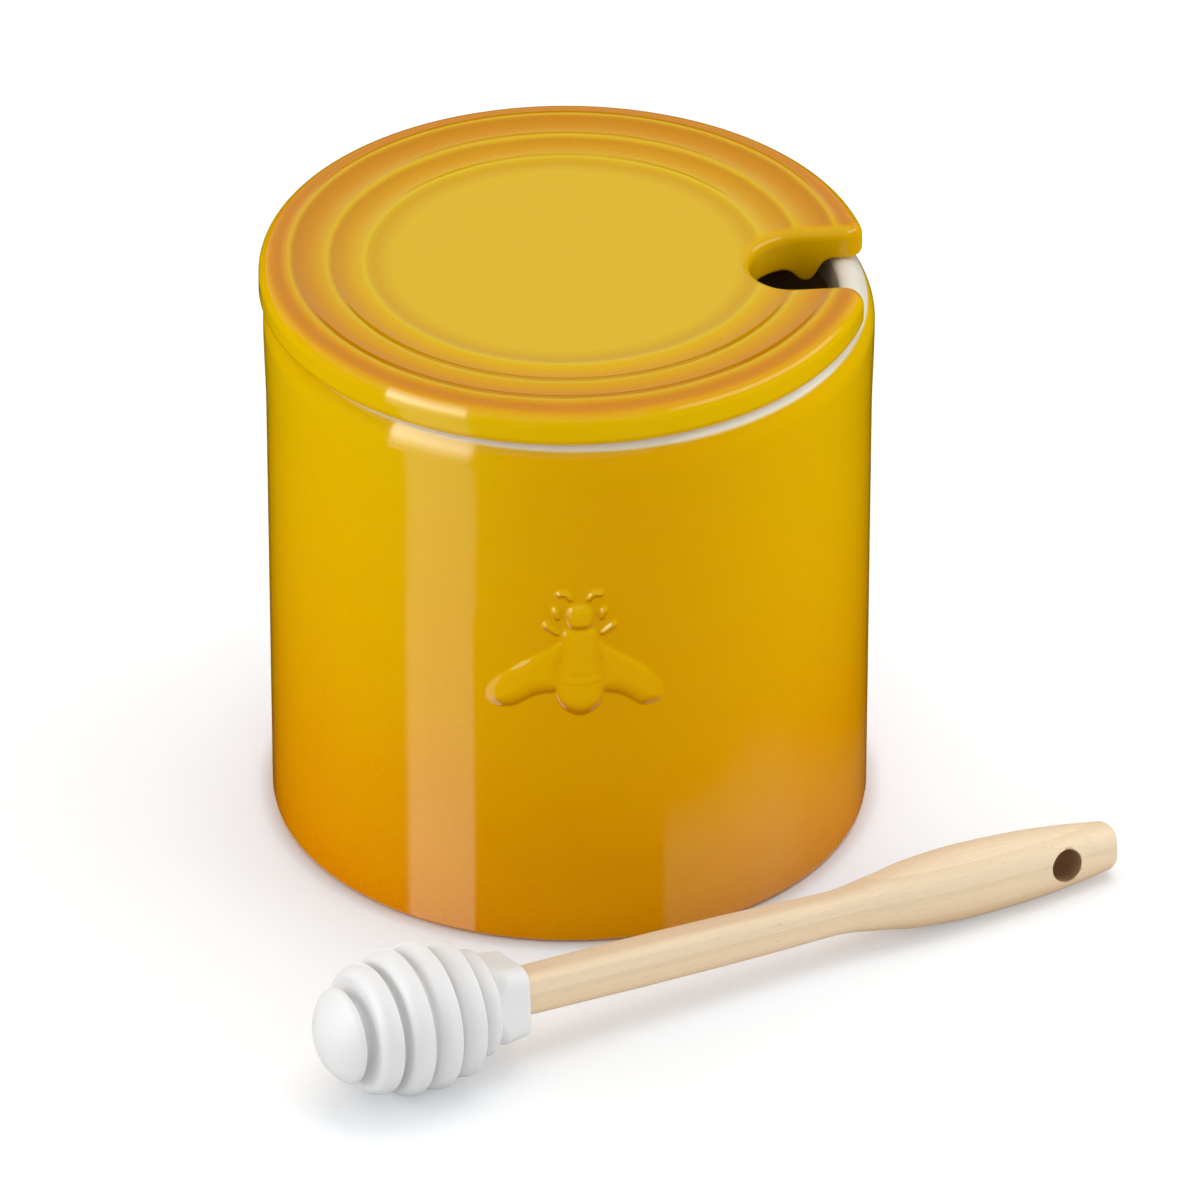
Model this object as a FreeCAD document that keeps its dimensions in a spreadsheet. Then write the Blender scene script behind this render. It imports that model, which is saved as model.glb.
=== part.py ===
# Honey pot: a straight stoneware jar with a raised bee, a loose notched lid that rests on its rim,
# and a dipper, a ribbed silicone head pushed onto a wooden handle, that lies in front of the jar.
# Frame: the origin is the centre of the jar's base, +Z is up, -Y is the front with the bee,
# and +X is the side that the lid's notch opens to. Lengths are millimetres, angles degrees.
import FreeCAD, Part
import Sketcher
import math
import os

from FreeCAD import Placement, Rotation, Vector

# Driving dimensions. Distances named "at" run along the dipper from the tip of its head.
SIZES = {
    # Jar
    "pot_diameter": 99.8,
    "wall_taper": 0.4,
    "pot_height": 95.9,
    "pot_wall": 5.5,
    "pot_floor": 6.5,
    "base_corner": 1.2,
    "inner_corner": 8.0,
    "rim_round": 1.7,
    "rim_flare": 0.35,
    "rim_flare_height": 16.0,
    "rim_widest_drop": 5.2,
    "rim_inset": 3.1,
    # Bee raised on the jar's wall
    "bee_angle": 2.3,
    "bee_centre_height": 55.2,
    "bee_body_length": 20.8,
    "bee_wing_span": 29.6,
    "bee_relief": 0.9,
    "bee_sink": 0.6,
    # Lid: heights above the seat that rests on the jar's rim
    "lid_overhang": 0.4,
    "lid_rise": 6.2,
    "lid_edge_rise": 5.65,
    "lid_top_round": 2.5,
    "lid_bottom_round": 0.8,
    "lid_shift_left": 0.65,
    "lid_shift_back": 1.0,
    "ring_margin": 4.9,
    "ring_spacing": 6.2,
    "ring_step": 0.5,
    "ring_hollow": 0.7,
    "edge_hollow": 0.25,
    "disc_drop": 0.35,
    "disc_margin": 2.6,
    "underside_drop": 2.05,
    "locator_play": 1.9,
    "locator_width": 3.75,
    "locator_depth": 4.4,
    "notch_width": 16.6,
    "notch_depth": 20.0,
    "notch_edge": 1.2,
    # Dipper head
    "head_length": 35.9,
    "dome_radius": 8.0,
    "dome_height": 3.75,
    "dome_rim": 0.85,
    "first_rib_back_at": 10.05,
    "rib_pitch": 5.0,
    "rib_thickness": 3.5,
    "rib_front_round": 1.2,
    "rib_first_radius": 10.85,
    "rib_second_radius": 12.2,
    "rib_third_radius": 12.25,
    "rib_fourth_radius": 11.3,
    "rib_fifth_radius": 8.95,
    "groove_depth": 2.5,
    "collar_round_diameter": 13.8,
    "collar_side": 11.7,
    "collar_corner": 2.3,
    # Joint between head and handle
    "tenon_tall": 5.6,
    "tenon_thick": 5.0,
    "tenon_corner": 1.2,
    "tenon_length": 19.0,
    "socket_clearance": 0.08,
    "socket_end_gap": 1.0,
    # Dipper handle
    "dipper_length": 149.0,
    "neck_tall": 7.2,
    "neck_thick": 6.4,
    "neck_corner": 1.6,
    "waist_at": 95.0,
    "waist_tall": 6.7,
    "waist_thick": 6.0,
    "waist_corner": 1.9,
    "grip_at": 120.0,
    "grip_tall": 12.4,
    "grip_thick": 10.0,
    "grip_corner": 4.6,
    "tail_tall": 8.4,
    "tail_thick": 6.6,
    "tail_corner": 3.1,
    "tail_round": 2.4,
    "hang_hole_diameter": 5.6,
    "hang_hole_from_tail": 11.1,
    # Where the dipper lies
    "dipper_gap": 17.1,
    "dipper_back": 83.1,
    "dipper_yaw": 28.95,
    "dipper_roll": 10.0,
    "floor_clearance": 0.05,
}

# Bee pieces as shares of half its wing span and half its body length, from the bee's centre:
# name, side, up, half width, half height, lean in degrees
BEE_SHARES = (
    ("head", 0.0, 0.84, 0.16, 0.22, 0.0),
    ("thorax", 0.0, 0.30, 0.25, 0.40, 0.0),
    ("abdomen", 0.0, -0.42, 0.30, 0.58, 0.0),
    ("left_wing", -0.59, -0.38, 0.235, 0.82, -50.0),
    ("right_wing", 0.59, -0.38, 0.235, 0.82, 50.0),
)
# The lens-shaped bee pieces are this much deeper where they are broad
BEE_BODY_DEPTH_SHARE = 1.15

# Backs of the five ribs as shares of the rib pitch, and their thicknesses: the last one is thinner
# and stands closer to its neighbour
RIB_PLACE_SHARES = (0.0, 1.0, 2.0, 3.0, 3.8)
RIB_THICKNESS_SHARES = (1.0, 1.0, 1.0, 1.0, 0.75)
# The collar behind the ribs is at least this share of its round diameter long
COLLAR_LEAST_SHARE = 0.35

# Handle sections between two named ones: share of the distance, share of the growth
NECK_STEPS = 7
NECK_SWELL_SHARE = 0.03
FLARE_SHARES = ((0.33, 0.36), (0.62, 0.80))
TAPER_SHARES = ((0.42, 0.16), (0.80, 0.62))
TAIL_STEPS = 4
# The round end of the collar is a square whose corners take up almost half of its side, and the
# collar is square from this share of its length on
COLLAR_ROUND_SHARE = 0.49
COLLAR_SQUARE_SHARE = 0.4
# Step of the search for the dipper's resting tilt, and its largest tilt, in degrees
TILT_STEPS = 40
TILT_LIMIT = 12.0
MESH_FINENESS_SHARE = 0.0005
# Overrun of cutters past the faces that they cut, as a share of the lid's radius
OVERRUN_SHARE = 0.1

LEFT, RIGHT = 1, -1


class Size:
    """A length or angle from the sheet: its value now, and the expression that drives it."""

    def __init__(self, value, text):
        self.value = value
        self.text = text

    def combine(self, other, value, sign):
        text = other.text if isinstance(other, Size) else repr(other)
        return Size(value, "(%s %s %s)" % (self.text, sign, text))

    def __add__(self, other):
        return self.combine(other, self.value + number(other), "+")

    def __sub__(self, other):
        return self.combine(other, self.value - number(other), "-")

    def __mul__(self, other):
        return self.combine(other, self.value * number(other), "*")

    def __truediv__(self, other):
        return self.combine(other, self.value / number(other), "/")


def number(size):
    return size.value if isinstance(size, Size) else size


class Sizes:
    """Every driving dimension of the sheet, by its name."""

    def __init__(self, doc):
        self.sheet = doc.addObject("Spreadsheet::Sheet", "Sizes")
        for row, (alias, value) in enumerate(SIZES.items(), start=1):
            self.sheet.set("A%d" % row, alias)
            self.sheet.set("B%d" % row, str(value))
            self.sheet.setAlias("B%d" % row, alias)
        doc.recompute()
        for alias in SIZES:
            setattr(self, alias, Size(float(self.sheet.get(alias)), "Sizes." + alias))


def mix(start, end, share):
    return start + (end - start) * share


def bind(thing, name, size):
    """Set one property of a document object and tie it to the sheet."""
    setattr(thing, name, number(size))
    thing.setExpression(name, size.text)


def plane(body, role):
    return [item for item in body.Origin.OriginFeatures if item.Role == role][0]


def new_sketch(body, name, role, offset=None):
    sketch = body.newObject("Sketcher::SketchObject", name)
    sketch.AttachmentSupport = [(plane(body, role), "")]
    sketch.MapMode = "FlatFace"
    if offset is not None:
        sketch.AttachmentOffset = Placement(Vector(0, 0, offset.value), Rotation())
        sketch.setExpression(".AttachmentOffset.Base.z", offset.text)
    return sketch


def dimension(sketch, kind, geometry, point, size):
    """Hold one coordinate of a sketch point at a size of the sheet, or at zero."""
    if number(size) == 0:
        axis = -2 if kind == "DistanceX" else -1
        sketch.addConstraint(Sketcher.Constraint("PointOnObject", geometry, point, axis))
        return
    at = sketch.addConstraint(Sketcher.Constraint(kind, -1, 1, geometry, point, number(size)))
    sketch.setExpression("Constraints[%d]" % at, size.text)


def arc_between(start, end, centre_axis, centre_value, turn):
    """The arc from start to end whose centre has the given coordinate, turning left or right."""
    middle = (start + end) * 0.5
    across = Vector(start.y - end.y, end.x - start.x, 0)
    if centre_axis == "x":
        along = (centre_value - middle.x) / across.x
    else:
        along = (centre_value - middle.y) / across.y
    centre = middle + across * along
    first, last = (start, end) if turn == LEFT else (end, start)
    begin = math.atan2(first.y - centre.y, first.x - centre.x)
    finish = math.atan2(last.y - centre.y, last.x - centre.x)
    if finish <= begin:
        finish += 2 * math.pi
    circle = Part.Circle(centre, Vector(0, 0, 1), (start - centre).Length)
    return Part.ArcOfCircle(circle, begin, finish)


def outline(sketch, corners):
    """A closed outline. Each corner is (x, y), or (x, y, centre axis, centre, turn) before an arc."""
    points = [Vector(number(corner[0]), number(corner[1]), 0) for corner in corners]
    starts, ends = [], []
    for index, corner in enumerate(corners):
        start, end = points[index], points[(index + 1) % len(points)]
        if len(corner) == 2:
            geometry = sketch.addGeometry(Part.LineSegment(start, end), False)
            starts.append((geometry, 1))
            ends.append((geometry, 2))
        else:
            turn = corner[4]
            arc = arc_between(start, end, corner[2], number(corner[3]), turn)
            geometry = sketch.addGeometry(arc, False)
            starts.append((geometry, 1 if turn == LEFT else 2))
            ends.append((geometry, 2 if turn == LEFT else 1))
    for index, corner in enumerate(corners):
        sketch.addConstraint(Sketcher.Constraint("Coincident", *ends[index - 1], *starts[index]))
        dimension(sketch, "DistanceX", *starts[index], corner[0])
        dimension(sketch, "DistanceY", *starts[index], corner[1])
        if len(corner) > 2:
            kind = "DistanceX" if corner[2] == "x" else "DistanceY"
            dimension(sketch, kind, starts[index][0], 3, corner[3])
    return sketch


def rounded_rectangle(sketch, wide, tall, corner):
    """A rectangle with round corners about the sketch's origin."""
    right, top, bend = number(wide) / 2, number(tall) / 2, number(corner)
    quarters = ((right - bend, top - bend, 0), (bend - right, top - bend, 1),
                (bend - right, bend - top, 2), (right - bend, bend - top, 3))
    arcs = []
    for x, y, quarter in quarters:
        circle = Part.Circle(Vector(x, y, 0), Vector(0, 0, 1), bend)
        begin = quarter * math.pi / 2
        arcs.append(sketch.addGeometry(Part.ArcOfCircle(circle, begin, begin + math.pi / 2), False))
    lines = []
    for index in range(4):
        start = sketch.Geometry[arcs[index]].EndPoint
        end = sketch.Geometry[arcs[(index + 1) % 4]].StartPoint
        lines.append(sketch.addGeometry(Part.LineSegment(start, end), False))
    for index in range(4):
        after = arcs[(index + 1) % 4]
        sketch.addConstraint(Sketcher.Constraint("Tangent", arcs[index], 2, lines[index], 1))
        sketch.addConstraint(Sketcher.Constraint("Tangent", lines[index], 2, after, 1))
        level = "Horizontal" if index % 2 == 0 else "Vertical"
        sketch.addConstraint(Sketcher.Constraint(level, lines[index]))
    for index in range(1, 4):
        sketch.addConstraint(Sketcher.Constraint("Equal", arcs[0], arcs[index]))
    sketch.addConstraint(Sketcher.Constraint("Symmetric", arcs[0], 3, arcs[2], 3, -1, 1))
    for kind, first, second, size in (("DistanceX", lines[1], lines[3], wide),
                                      ("DistanceY", lines[2], lines[0], tall)):
        at = sketch.addConstraint(Sketcher.Constraint(kind, first, 1, second, 1, number(size)))
        sketch.setExpression("Constraints[%d]" % at, size.text)
    at = sketch.addConstraint(Sketcher.Constraint("Radius", arcs[0], bend))
    sketch.setExpression("Constraints[%d]" % at, corner.text)
    return sketch


def revolve(body, sketch, axis):
    turned = body.newObject("PartDesign::Revolution", sketch.Name + "_turned")
    turned.Profile = sketch
    turned.ReferenceAxis = (sketch, [axis])
    turned.Angle = 360.0
    body.Document.recompute()
    return turned


def fillet(body, name, radius, chosen):
    """Round the edges of the body's last feature that the test picks."""
    base = body.Tip
    edges = ["Edge%d" % (index + 1) for index, edge in enumerate(base.Shape.Edges) if chosen(edge)]
    rounded = body.newObject("PartDesign::Fillet", name)
    rounded.Base = (base, edges)
    bind(rounded, "Radius", radius)
    body.Document.recompute()
    return rounded


def ring_at(radius, height):
    """Test for a full circle about the Z axis, of a radius and at a height."""
    def chosen(edge):
        curve = edge.Curve
        return (isinstance(curve, Part.Circle)
                and math.isclose(curve.Radius, radius.value, abs_tol=Part.Precision.confusion())
                and math.isclose(curve.Center.z, number(height), abs_tol=Part.Precision.confusion()))
    return chosen


def make_jar(doc, size):
    """The turned jar: slightly tapered wall, flat base, and a flared round rim with a flat land."""
    body = doc.addObject("PartDesign::Body", "Jar")
    outer = size.pot_diameter / 2
    foot = outer - size.wall_taper
    mouth = outer + size.rim_flare
    inner = outer - size.pot_wall
    flare_start = size.pot_height - size.rim_flare_height
    widest = size.pot_height - size.rim_widest_drop
    sketch = outline(new_sketch(body, "jar_section", "XZ_Plane"), [
        (0, 0), (foot, 0), (outer, flare_start), (mouth, widest, "y", widest, LEFT),
        (mouth - size.rim_inset, size.pot_height), (inner, size.pot_height),
        (inner, size.pot_floor), (0, size.pot_floor)])
    revolve(body, sketch, "V_Axis")
    fillet(body, "base_edge", size.base_corner, ring_at(foot, 0))
    fillet(body, "inside_corner", size.inner_corner, ring_at(inner, size.pot_floor))
    fillet(body, "rim_inner_edge", size.rim_round, ring_at(inner, size.pot_height))
    return body


def make_bee(doc, size):
    """Lens-shaped pieces sunk in the jar's wall, which leave a soft raised bee."""
    outer = size.pot_diameter.value / 2
    foot = outer - size.wall_taper.value
    wall_height = size.pot_height - size.rim_flare_height
    half_span = size.bee_wing_span / 2
    half_body = size.bee_body_length / 2
    pieces = []
    for name, side, up, wide, tall, lean in BEE_SHARES:
        lens = doc.addObject("Part::Ellipsoid", "Bee_" + name)
        depth = size.bee_relief + size.bee_sink
        if lean == 0:
            depth = depth * BEE_BODY_DEPTH_SHARE
        bind(lens, "Radius1", half_body * tall)
        bind(lens, "Radius2", half_span * wide)
        bind(lens, "Radius3", depth)
        height = size.bee_centre_height.value + half_body.value * up
        wall = mix(foot, outer, height / wall_height.value)
        around = size.bee_angle.value + math.degrees(half_span.value * side / wall)
        turn = Rotation(Vector(0, 0, 1), around)
        radius = wall - size.bee_sink.value
        centre = turn.multVec(Vector(0, -radius, 0)) + Vector(0, 0, height)
        lens.Placement = Placement(centre, turn * Rotation(Vector(0, 1, 0), -lean))
        pieces.append(lens)
    return pieces


def make_pot(doc, size):
    pot = doc.addObject("Part::MultiFuse", "pot_body")
    pot.Shapes = [make_jar(doc, size)] + make_bee(doc, size)
    doc.recompute()
    return pot


def lid_radius(size):
    """The lid stands a little past the jar's wall all round."""
    return size.pot_diameter / 2 + size.lid_overhang


def lid_section(size):
    """Half section of the lid, from its axis along the underside, round the edge, over the rings.

    Heights run from the foot of the locating ring.
    """
    outer = lid_radius(size)
    seat = size.locator_depth
    under = seat - size.underside_drop
    locator_out = size.pot_diameter / 2 - size.pot_wall - size.locator_play
    locator_in = locator_out - size.locator_width
    locator_bend = size.locator_width / 2
    edge_top = seat + size.lid_edge_rise
    edge_low = seat + size.lid_bottom_round
    edge_high = edge_top - size.lid_top_round
    edge_in = outer - size.lid_top_round
    crests = []
    for step in range(3):
        radius = outer - size.ring_margin - size.ring_spacing * step
        crests.append((radius, seat + size.lid_rise - size.ring_step * step))
    corners = [
        (0, under), (locator_in, under),
        (locator_in, locator_bend, "y", locator_bend, LEFT), (locator_out, locator_bend),
        (locator_out, seat), (outer - size.lid_bottom_round, seat, "y", edge_low, LEFT),
        (outer, edge_low), (outer, edge_high, "y", edge_high, LEFT)]
    rims = [(edge_in, edge_top)] + crests
    depths = [size.edge_hollow, size.ring_hollow, size.ring_hollow]
    for outside, inside, depth in zip(rims, rims[1:], depths):
        breadth = outside[0] - inside[0]
        rise = breadth * breadth / depth / 8 - depth / 2
        corners.append(outside + ("y", (outside[1] + inside[1]) / 2 + rise, RIGHT))
    disc_edge = crests[2][0] - size.disc_margin
    disc_top = crests[2][1] - size.disc_drop
    corners.append(crests[2] + ("x", disc_edge, RIGHT))
    return corners + [(disc_edge, disc_top), (0, disc_top)]


def notch_outline(sketch, half_width, reach, far):
    """A slot along +X with a round inner end: a straight outline with one half circle."""
    bend = reach + half_width
    start, end = Vector(bend.value, half_width.value, 0), Vector(bend.value, -half_width.value, 0)
    far_top, far_low = Vector(far.value, half_width.value, 0), Vector(far.value, -half_width.value, 0)
    circle = Part.Circle(Vector(bend.value, 0, 0), Vector(0, 0, 1), half_width.value)
    arc = sketch.addGeometry(Part.ArcOfCircle(circle, math.pi / 2, 3 * math.pi / 2), False)
    low = sketch.addGeometry(Part.LineSegment(end, far_low), False)
    outer = sketch.addGeometry(Part.LineSegment(far_low, far_top), False)
    high = sketch.addGeometry(Part.LineSegment(far_top, start), False)
    sketch.addConstraint(Sketcher.Constraint("Tangent", arc, 2, low, 1))
    sketch.addConstraint(Sketcher.Constraint("Coincident", low, 2, outer, 1))
    sketch.addConstraint(Sketcher.Constraint("Coincident", outer, 2, high, 1))
    sketch.addConstraint(Sketcher.Constraint("Tangent", high, 2, arc, 1))
    sketch.addConstraint(Sketcher.Constraint("Horizontal", low))
    sketch.addConstraint(Sketcher.Constraint("Vertical", outer))
    dimension(sketch, "DistanceY", arc, 3, 0)
    dimension(sketch, "DistanceX", arc, 3, bend)
    dimension(sketch, "DistanceX", outer, 1, far)
    at = sketch.addConstraint(Sketcher.Constraint("Radius", arc, half_width.value))
    sketch.setExpression("Constraints[%d]" % at, half_width.text)
    return sketch


def make_lid(doc, size):
    """The turned lid, cut by a slot for the dipper whose upper edge is eased."""
    body = doc.addObject("PartDesign::Body", "lid")
    revolve(body, outline(new_sketch(body, "lid_section", "XZ_Plane"), lid_section(size)), "V_Axis")
    outer = lid_radius(size)
    overrun = outer * OVERRUN_SHARE
    far = outer + overrun
    top = size.locator_depth + size.lid_rise
    reach = outer - size.notch_depth
    half = size.notch_width / 2
    whole = body.Shape.Volume

    slot = new_sketch(body, "notch", "XY_Plane", top + overrun)
    notch_outline(slot, half, reach, far)
    cut = body.newObject("PartDesign::Pocket", "notch_cut")
    cut.Profile = slot
    bind(cut, "Length", top + overrun * 2)
    doc.recompute()
    slotted = body.Shape.Volume
    if slotted >= whole:
        raise RuntimeError("the notch cuts nothing")

    # The eased edge is cut by a slot that widens upwards at 45 degrees
    disc = top - size.ring_step * 2 - size.disc_drop
    widest = size.notch_edge + overrun
    narrow = notch_outline(new_sketch(body, "ease_low", "XY_Plane", disc - size.notch_edge),
                           half, reach, far)
    broad = notch_outline(new_sketch(body, "ease_high", "XY_Plane", disc + overrun),
                          half + widest, reach - widest, far)
    ease = body.newObject("PartDesign::SubtractiveLoft", "notch_ease")
    ease.Profile = narrow
    ease.Sections = [broad]
    ease.Ruled = True
    doc.recompute()
    if body.Shape.Volume >= slotted:
        raise RuntimeError("the eased edge cuts nothing")

    body.Placement = Placement(
        Vector(-size.lid_shift_left.value, size.lid_shift_back.value,
               size.pot_height.value - size.locator_depth.value), Rotation())
    doc.recompute()
    return body


def rib_radii(size):
    return [size.rib_first_radius, size.rib_second_radius, size.rib_third_radius,
            size.rib_fourth_radius, size.rib_fifth_radius]


def fitting_ribs(size):
    """Radius, front and back of each rib that leaves the collar its least length behind it."""
    room = size.head_length - size.collar_round_diameter * COLLAR_LEAST_SHARE
    ribs = []
    for radius, place, share in zip(rib_radii(size), RIB_PLACE_SHARES, RIB_THICKNESS_SHARES):
        back = size.first_rib_back_at + size.rib_pitch * place
        if back.value <= room.value:
            ribs.append((radius, back - size.rib_thickness * share, back))
    return ribs


def head_section(size):
    """Half section of the head's round part, along the dipper from the tip: dome, ribs, core."""
    dome_end = size.dome_height + size.dome_rim
    sphere = (size.dome_radius * size.dome_radius / size.dome_height + size.dome_height) / 2
    core = size.collar_round_diameter / 2
    groove = size.dome_radius - size.groove_depth
    corners = [(0, 0, "x", sphere, RIGHT), (size.dome_height, size.dome_radius),
               (dome_end, size.dome_radius), (dome_end, groove)]
    ribs = fitting_ribs(size)
    floors = []
    for (radius, _, _), (after, _, _) in zip(ribs, ribs[1:]):
        floors.append((radius if radius.value < after.value else after) - size.groove_depth)
    for (radius, front, back), floor in zip(ribs, floors + [core]):
        low = radius - size.rib_front_round
        corners += [(front, groove), (front, low, "y", low, RIGHT), (front + size.rib_front_round, radius),
                    (back, radius), (back, floor)]
        groove = floor
    return corners + [(back, 0)], back


def make_head(doc, size):
    """The moulded head: dome, ribs, a collar that turns from round to square, and its socket."""
    body = doc.addObject("PartDesign::Body", "dipper_head")
    corners, collar_start = head_section(size)
    revolve(body, outline(new_sketch(body, "head_section", "XY_Plane"), corners), "H_Axis")

    across = size.collar_round_diameter
    square_start = mix(collar_start, size.head_length, COLLAR_SQUARE_SHARE)
    broad = mix(across, size.collar_side, COLLAR_SQUARE_SHARE)
    loft(body, "collar", [(collar_start, across, across, across * COLLAR_ROUND_SHARE),
                          (square_start, broad, broad, size.collar_corner),
                          (size.head_length, size.collar_side, size.collar_side, size.collar_corner)])

    whole = body.Shape.Volume
    mouth = new_sketch(body, "socket_mouth", "YZ_Plane", size.head_length)
    play = size.socket_clearance * 2
    rounded_rectangle(mouth, size.tenon_thick + play, size.tenon_tall + play,
                      size.tenon_corner + size.socket_clearance)
    socket = body.newObject("PartDesign::Pocket", "socket")
    socket.Profile = mouth
    bind(socket, "Length", size.tenon_length + size.socket_end_gap)
    doc.recompute()
    if body.Shape.Volume >= whole:
        raise RuntimeError("the socket cuts nothing")
    return body


def handle_stations(size):
    """Sections of the handle from its shoulder to its tail: place, thickness, height, corner."""
    neck = (size.head_length, size.neck_thick, size.neck_tall, size.neck_corner)
    waist = (size.waist_at, size.waist_thick, size.waist_tall, size.waist_corner)
    grip = (size.grip_at, size.grip_thick, size.grip_tall, size.grip_corner)
    tail = (size.dipper_length - size.tail_round, size.tail_thick, size.tail_tall, size.tail_corner)

    def between(first, second, shares):
        return [(mix(first[0], second[0], way),) + tuple(
            mix(one, two, growth) for one, two in zip(first[1:], second[1:])) for way, growth in shares]

    ways = [step / NECK_STEPS for step in range(1, NECK_STEPS)]
    along_neck = between(neck, waist, [(way, way ** 3) for way in ways])
    swells = [1 + 4 * NECK_SWELL_SHARE * way * (1 - way) for way in ways]
    along_neck = [(section[0],) + tuple(part * swell for part in section[1:])
                  for section, swell in zip(along_neck, swells)]
    return ([neck] + along_neck + [waist] + between(waist, grip, FLARE_SHARES)
            + [grip] + between(grip, tail, TAPER_SHARES) + [tail])


def tail_stations(size):
    """Sections of the handle's rounded end, which draw in along a quarter circle."""
    sections = []
    for step in range(TAIL_STEPS + 1):
        turn = math.pi / 2 * step / TAIL_STEPS
        at = size.dipper_length - size.tail_round * (1 - math.sin(turn))
        inset = size.tail_round * (1 - math.cos(turn))
        sections.append((at, size.tail_thick - inset * 2, size.tail_tall - inset * 2,
                         size.tail_corner - inset))
    return sections


def loft(body, name, stations):
    """A smooth body through round-cornered sections that lie across the dipper."""
    sections = []
    for index, (at, thick, tall, corner) in enumerate(stations):
        sketch = new_sketch(body, "%s_section_%d" % (name, index), "YZ_Plane", at)
        sections.append(rounded_rectangle(sketch, thick, tall, corner))
    shaped = body.newObject("PartDesign::AdditiveLoft", name)
    shaped.Profile = sections[0]
    shaped.Sections = sections[1:]
    body.Document.recompute()
    return shaped


def make_handle(doc, size):
    """The shaped handle: tenon, rectangular neck, swelling grip and blunt tail with a hanging hole."""
    body = doc.addObject("PartDesign::Body", "dipper_handle")
    loft(body, "shaft", handle_stations(size))
    loft(body, "tail", tail_stations(size))

    tenon_start = size.head_length - size.tenon_length
    tenon_sketch = new_sketch(body, "tenon_section", "YZ_Plane", tenon_start)
    rounded_rectangle(tenon_sketch, size.tenon_thick, size.tenon_tall, size.tenon_corner)
    tenon = body.newObject("PartDesign::Pad", "tenon")
    tenon.Profile = tenon_sketch
    bind(tenon, "Length", size.tenon_length)
    doc.recompute()

    whole = body.Shape.Volume
    hole_at = size.dipper_length - size.hang_hole_from_tail
    hole_sketch = new_sketch(body, "hang_hole", "XZ_Plane")
    radius = size.hang_hole_diameter / 2
    circle = Part.Circle(Vector(hole_at.value, 0, 0), Vector(0, 0, 1), radius.value)
    ring = hole_sketch.addGeometry(circle, False)
    dimension(hole_sketch, "DistanceX", ring, 3, hole_at)
    dimension(hole_sketch, "DistanceY", ring, 3, 0)
    at = hole_sketch.addConstraint(Sketcher.Constraint("Radius", ring, radius.value))
    hole_sketch.setExpression("Constraints[%d]" % at, radius.text)
    hole = body.newObject("PartDesign::Pocket", "hang_hole_cut")
    hole.Profile = hole_sketch
    hole.Midplane = True
    bind(hole, "Length", size.grip_thick * 2)
    doc.recompute()
    if body.Shape.Volume >= whole:
        raise RuntimeError("the hanging hole cuts nothing")
    return body


def lay_down(head, handle, size):
    """Lay the dipper on the floor in front of the jar, resting on its ribs and on its grip."""
    fineness = size.dipper_length.value * MESH_FINENESS_SHARE
    head_points = head.Shape.tessellate(fineness)[0]
    handle_points = handle.Shape.tessellate(fineness)[0]

    def turned(tilt):
        return Rotation(size.dipper_yaw.value, tilt, -size.dipper_roll.value)

    def lowest(points, tilt):
        rotation = turned(tilt)
        return min(rotation.multVec(point).z for point in points)

    low, high = -TILT_LIMIT, TILT_LIMIT
    for _ in range(TILT_STEPS):
        tilt = (low + high) / 2
        if lowest(handle_points, tilt) > lowest(head_points, tilt):
            low = tilt
        else:
            high = tilt
    rotation = turned(tilt)
    height = size.floor_clearance.value - min(lowest(head_points, tilt), lowest(handle_points, tilt))
    yaw = Rotation(Vector(0, 0, 1), size.dipper_yaw.value)
    away = size.pot_diameter.value / 2 + size.dipper_gap.value
    tip = yaw.multVec(Vector(-size.dipper_back.value, -away, 0)) + Vector(0, 0, height)
    for body in (head, handle):
        body.Placement = Placement(tip, rotation)
    axis = rotation.multVec(Vector(1, 0, 0))
    print("dipper tip", tip, "axis", axis, "tilt", tilt)


def check(doc, nodes):
    """Stop if any object of the document failed, or if a piece isn't one valid solid."""
    doc.recompute()
    for thing in doc.Objects:
        if "Invalid" in thing.State or "Error" in thing.State:
            raise RuntimeError("%s failed: %s" % (thing.Name, thing.State))
    for node in nodes:
        shape = node.Shape
        if shape.isNull() or not shape.isValid() or len(shape.Solids) != 1:
            raise RuntimeError("%s is not one valid solid" % node.Label)
        box = shape.BoundBox
        print(node.Label, "volume", shape.Volume, "box", box)


def main():
    doc = FreeCAD.newDocument("HoneyPot")
    size = Sizes(doc)
    head = make_head(doc, size)
    handle = make_handle(doc, size)
    lay_down(head, handle, size)
    nodes = [make_pot(doc, size), make_lid(doc, size), head, handle]
    check(doc, nodes)
    os.makedirs("parts", exist_ok=True)
    for node in nodes:
        node.Shape.exportStep("parts/%s.step" % node.Label)


main()
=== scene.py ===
import math

import bpy
import numpy as np
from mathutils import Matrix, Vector
from mathutils.geometry import delaunay_2d_cdt


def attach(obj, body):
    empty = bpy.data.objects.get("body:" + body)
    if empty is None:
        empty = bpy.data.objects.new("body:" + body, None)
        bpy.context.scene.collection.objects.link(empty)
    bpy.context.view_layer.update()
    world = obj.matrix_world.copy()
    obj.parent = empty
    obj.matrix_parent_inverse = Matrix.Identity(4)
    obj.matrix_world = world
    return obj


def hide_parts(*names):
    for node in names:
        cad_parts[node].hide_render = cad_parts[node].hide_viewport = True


# Looks of a glazed stoneware honey pot with a notched lid and a silicone and wood dipper.
# Sizes are millimetres in this script and become metres when a mesh is made.
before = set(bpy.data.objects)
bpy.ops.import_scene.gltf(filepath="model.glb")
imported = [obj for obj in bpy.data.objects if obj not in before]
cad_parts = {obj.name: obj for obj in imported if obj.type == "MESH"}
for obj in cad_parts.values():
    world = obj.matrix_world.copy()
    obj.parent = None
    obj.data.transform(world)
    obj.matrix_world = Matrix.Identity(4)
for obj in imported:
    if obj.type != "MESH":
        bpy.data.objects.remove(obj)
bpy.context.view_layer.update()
scene = bpy.context.scene
scene.view_settings.view_transform = "Standard"

MM = 0.001


# Meshes

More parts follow.
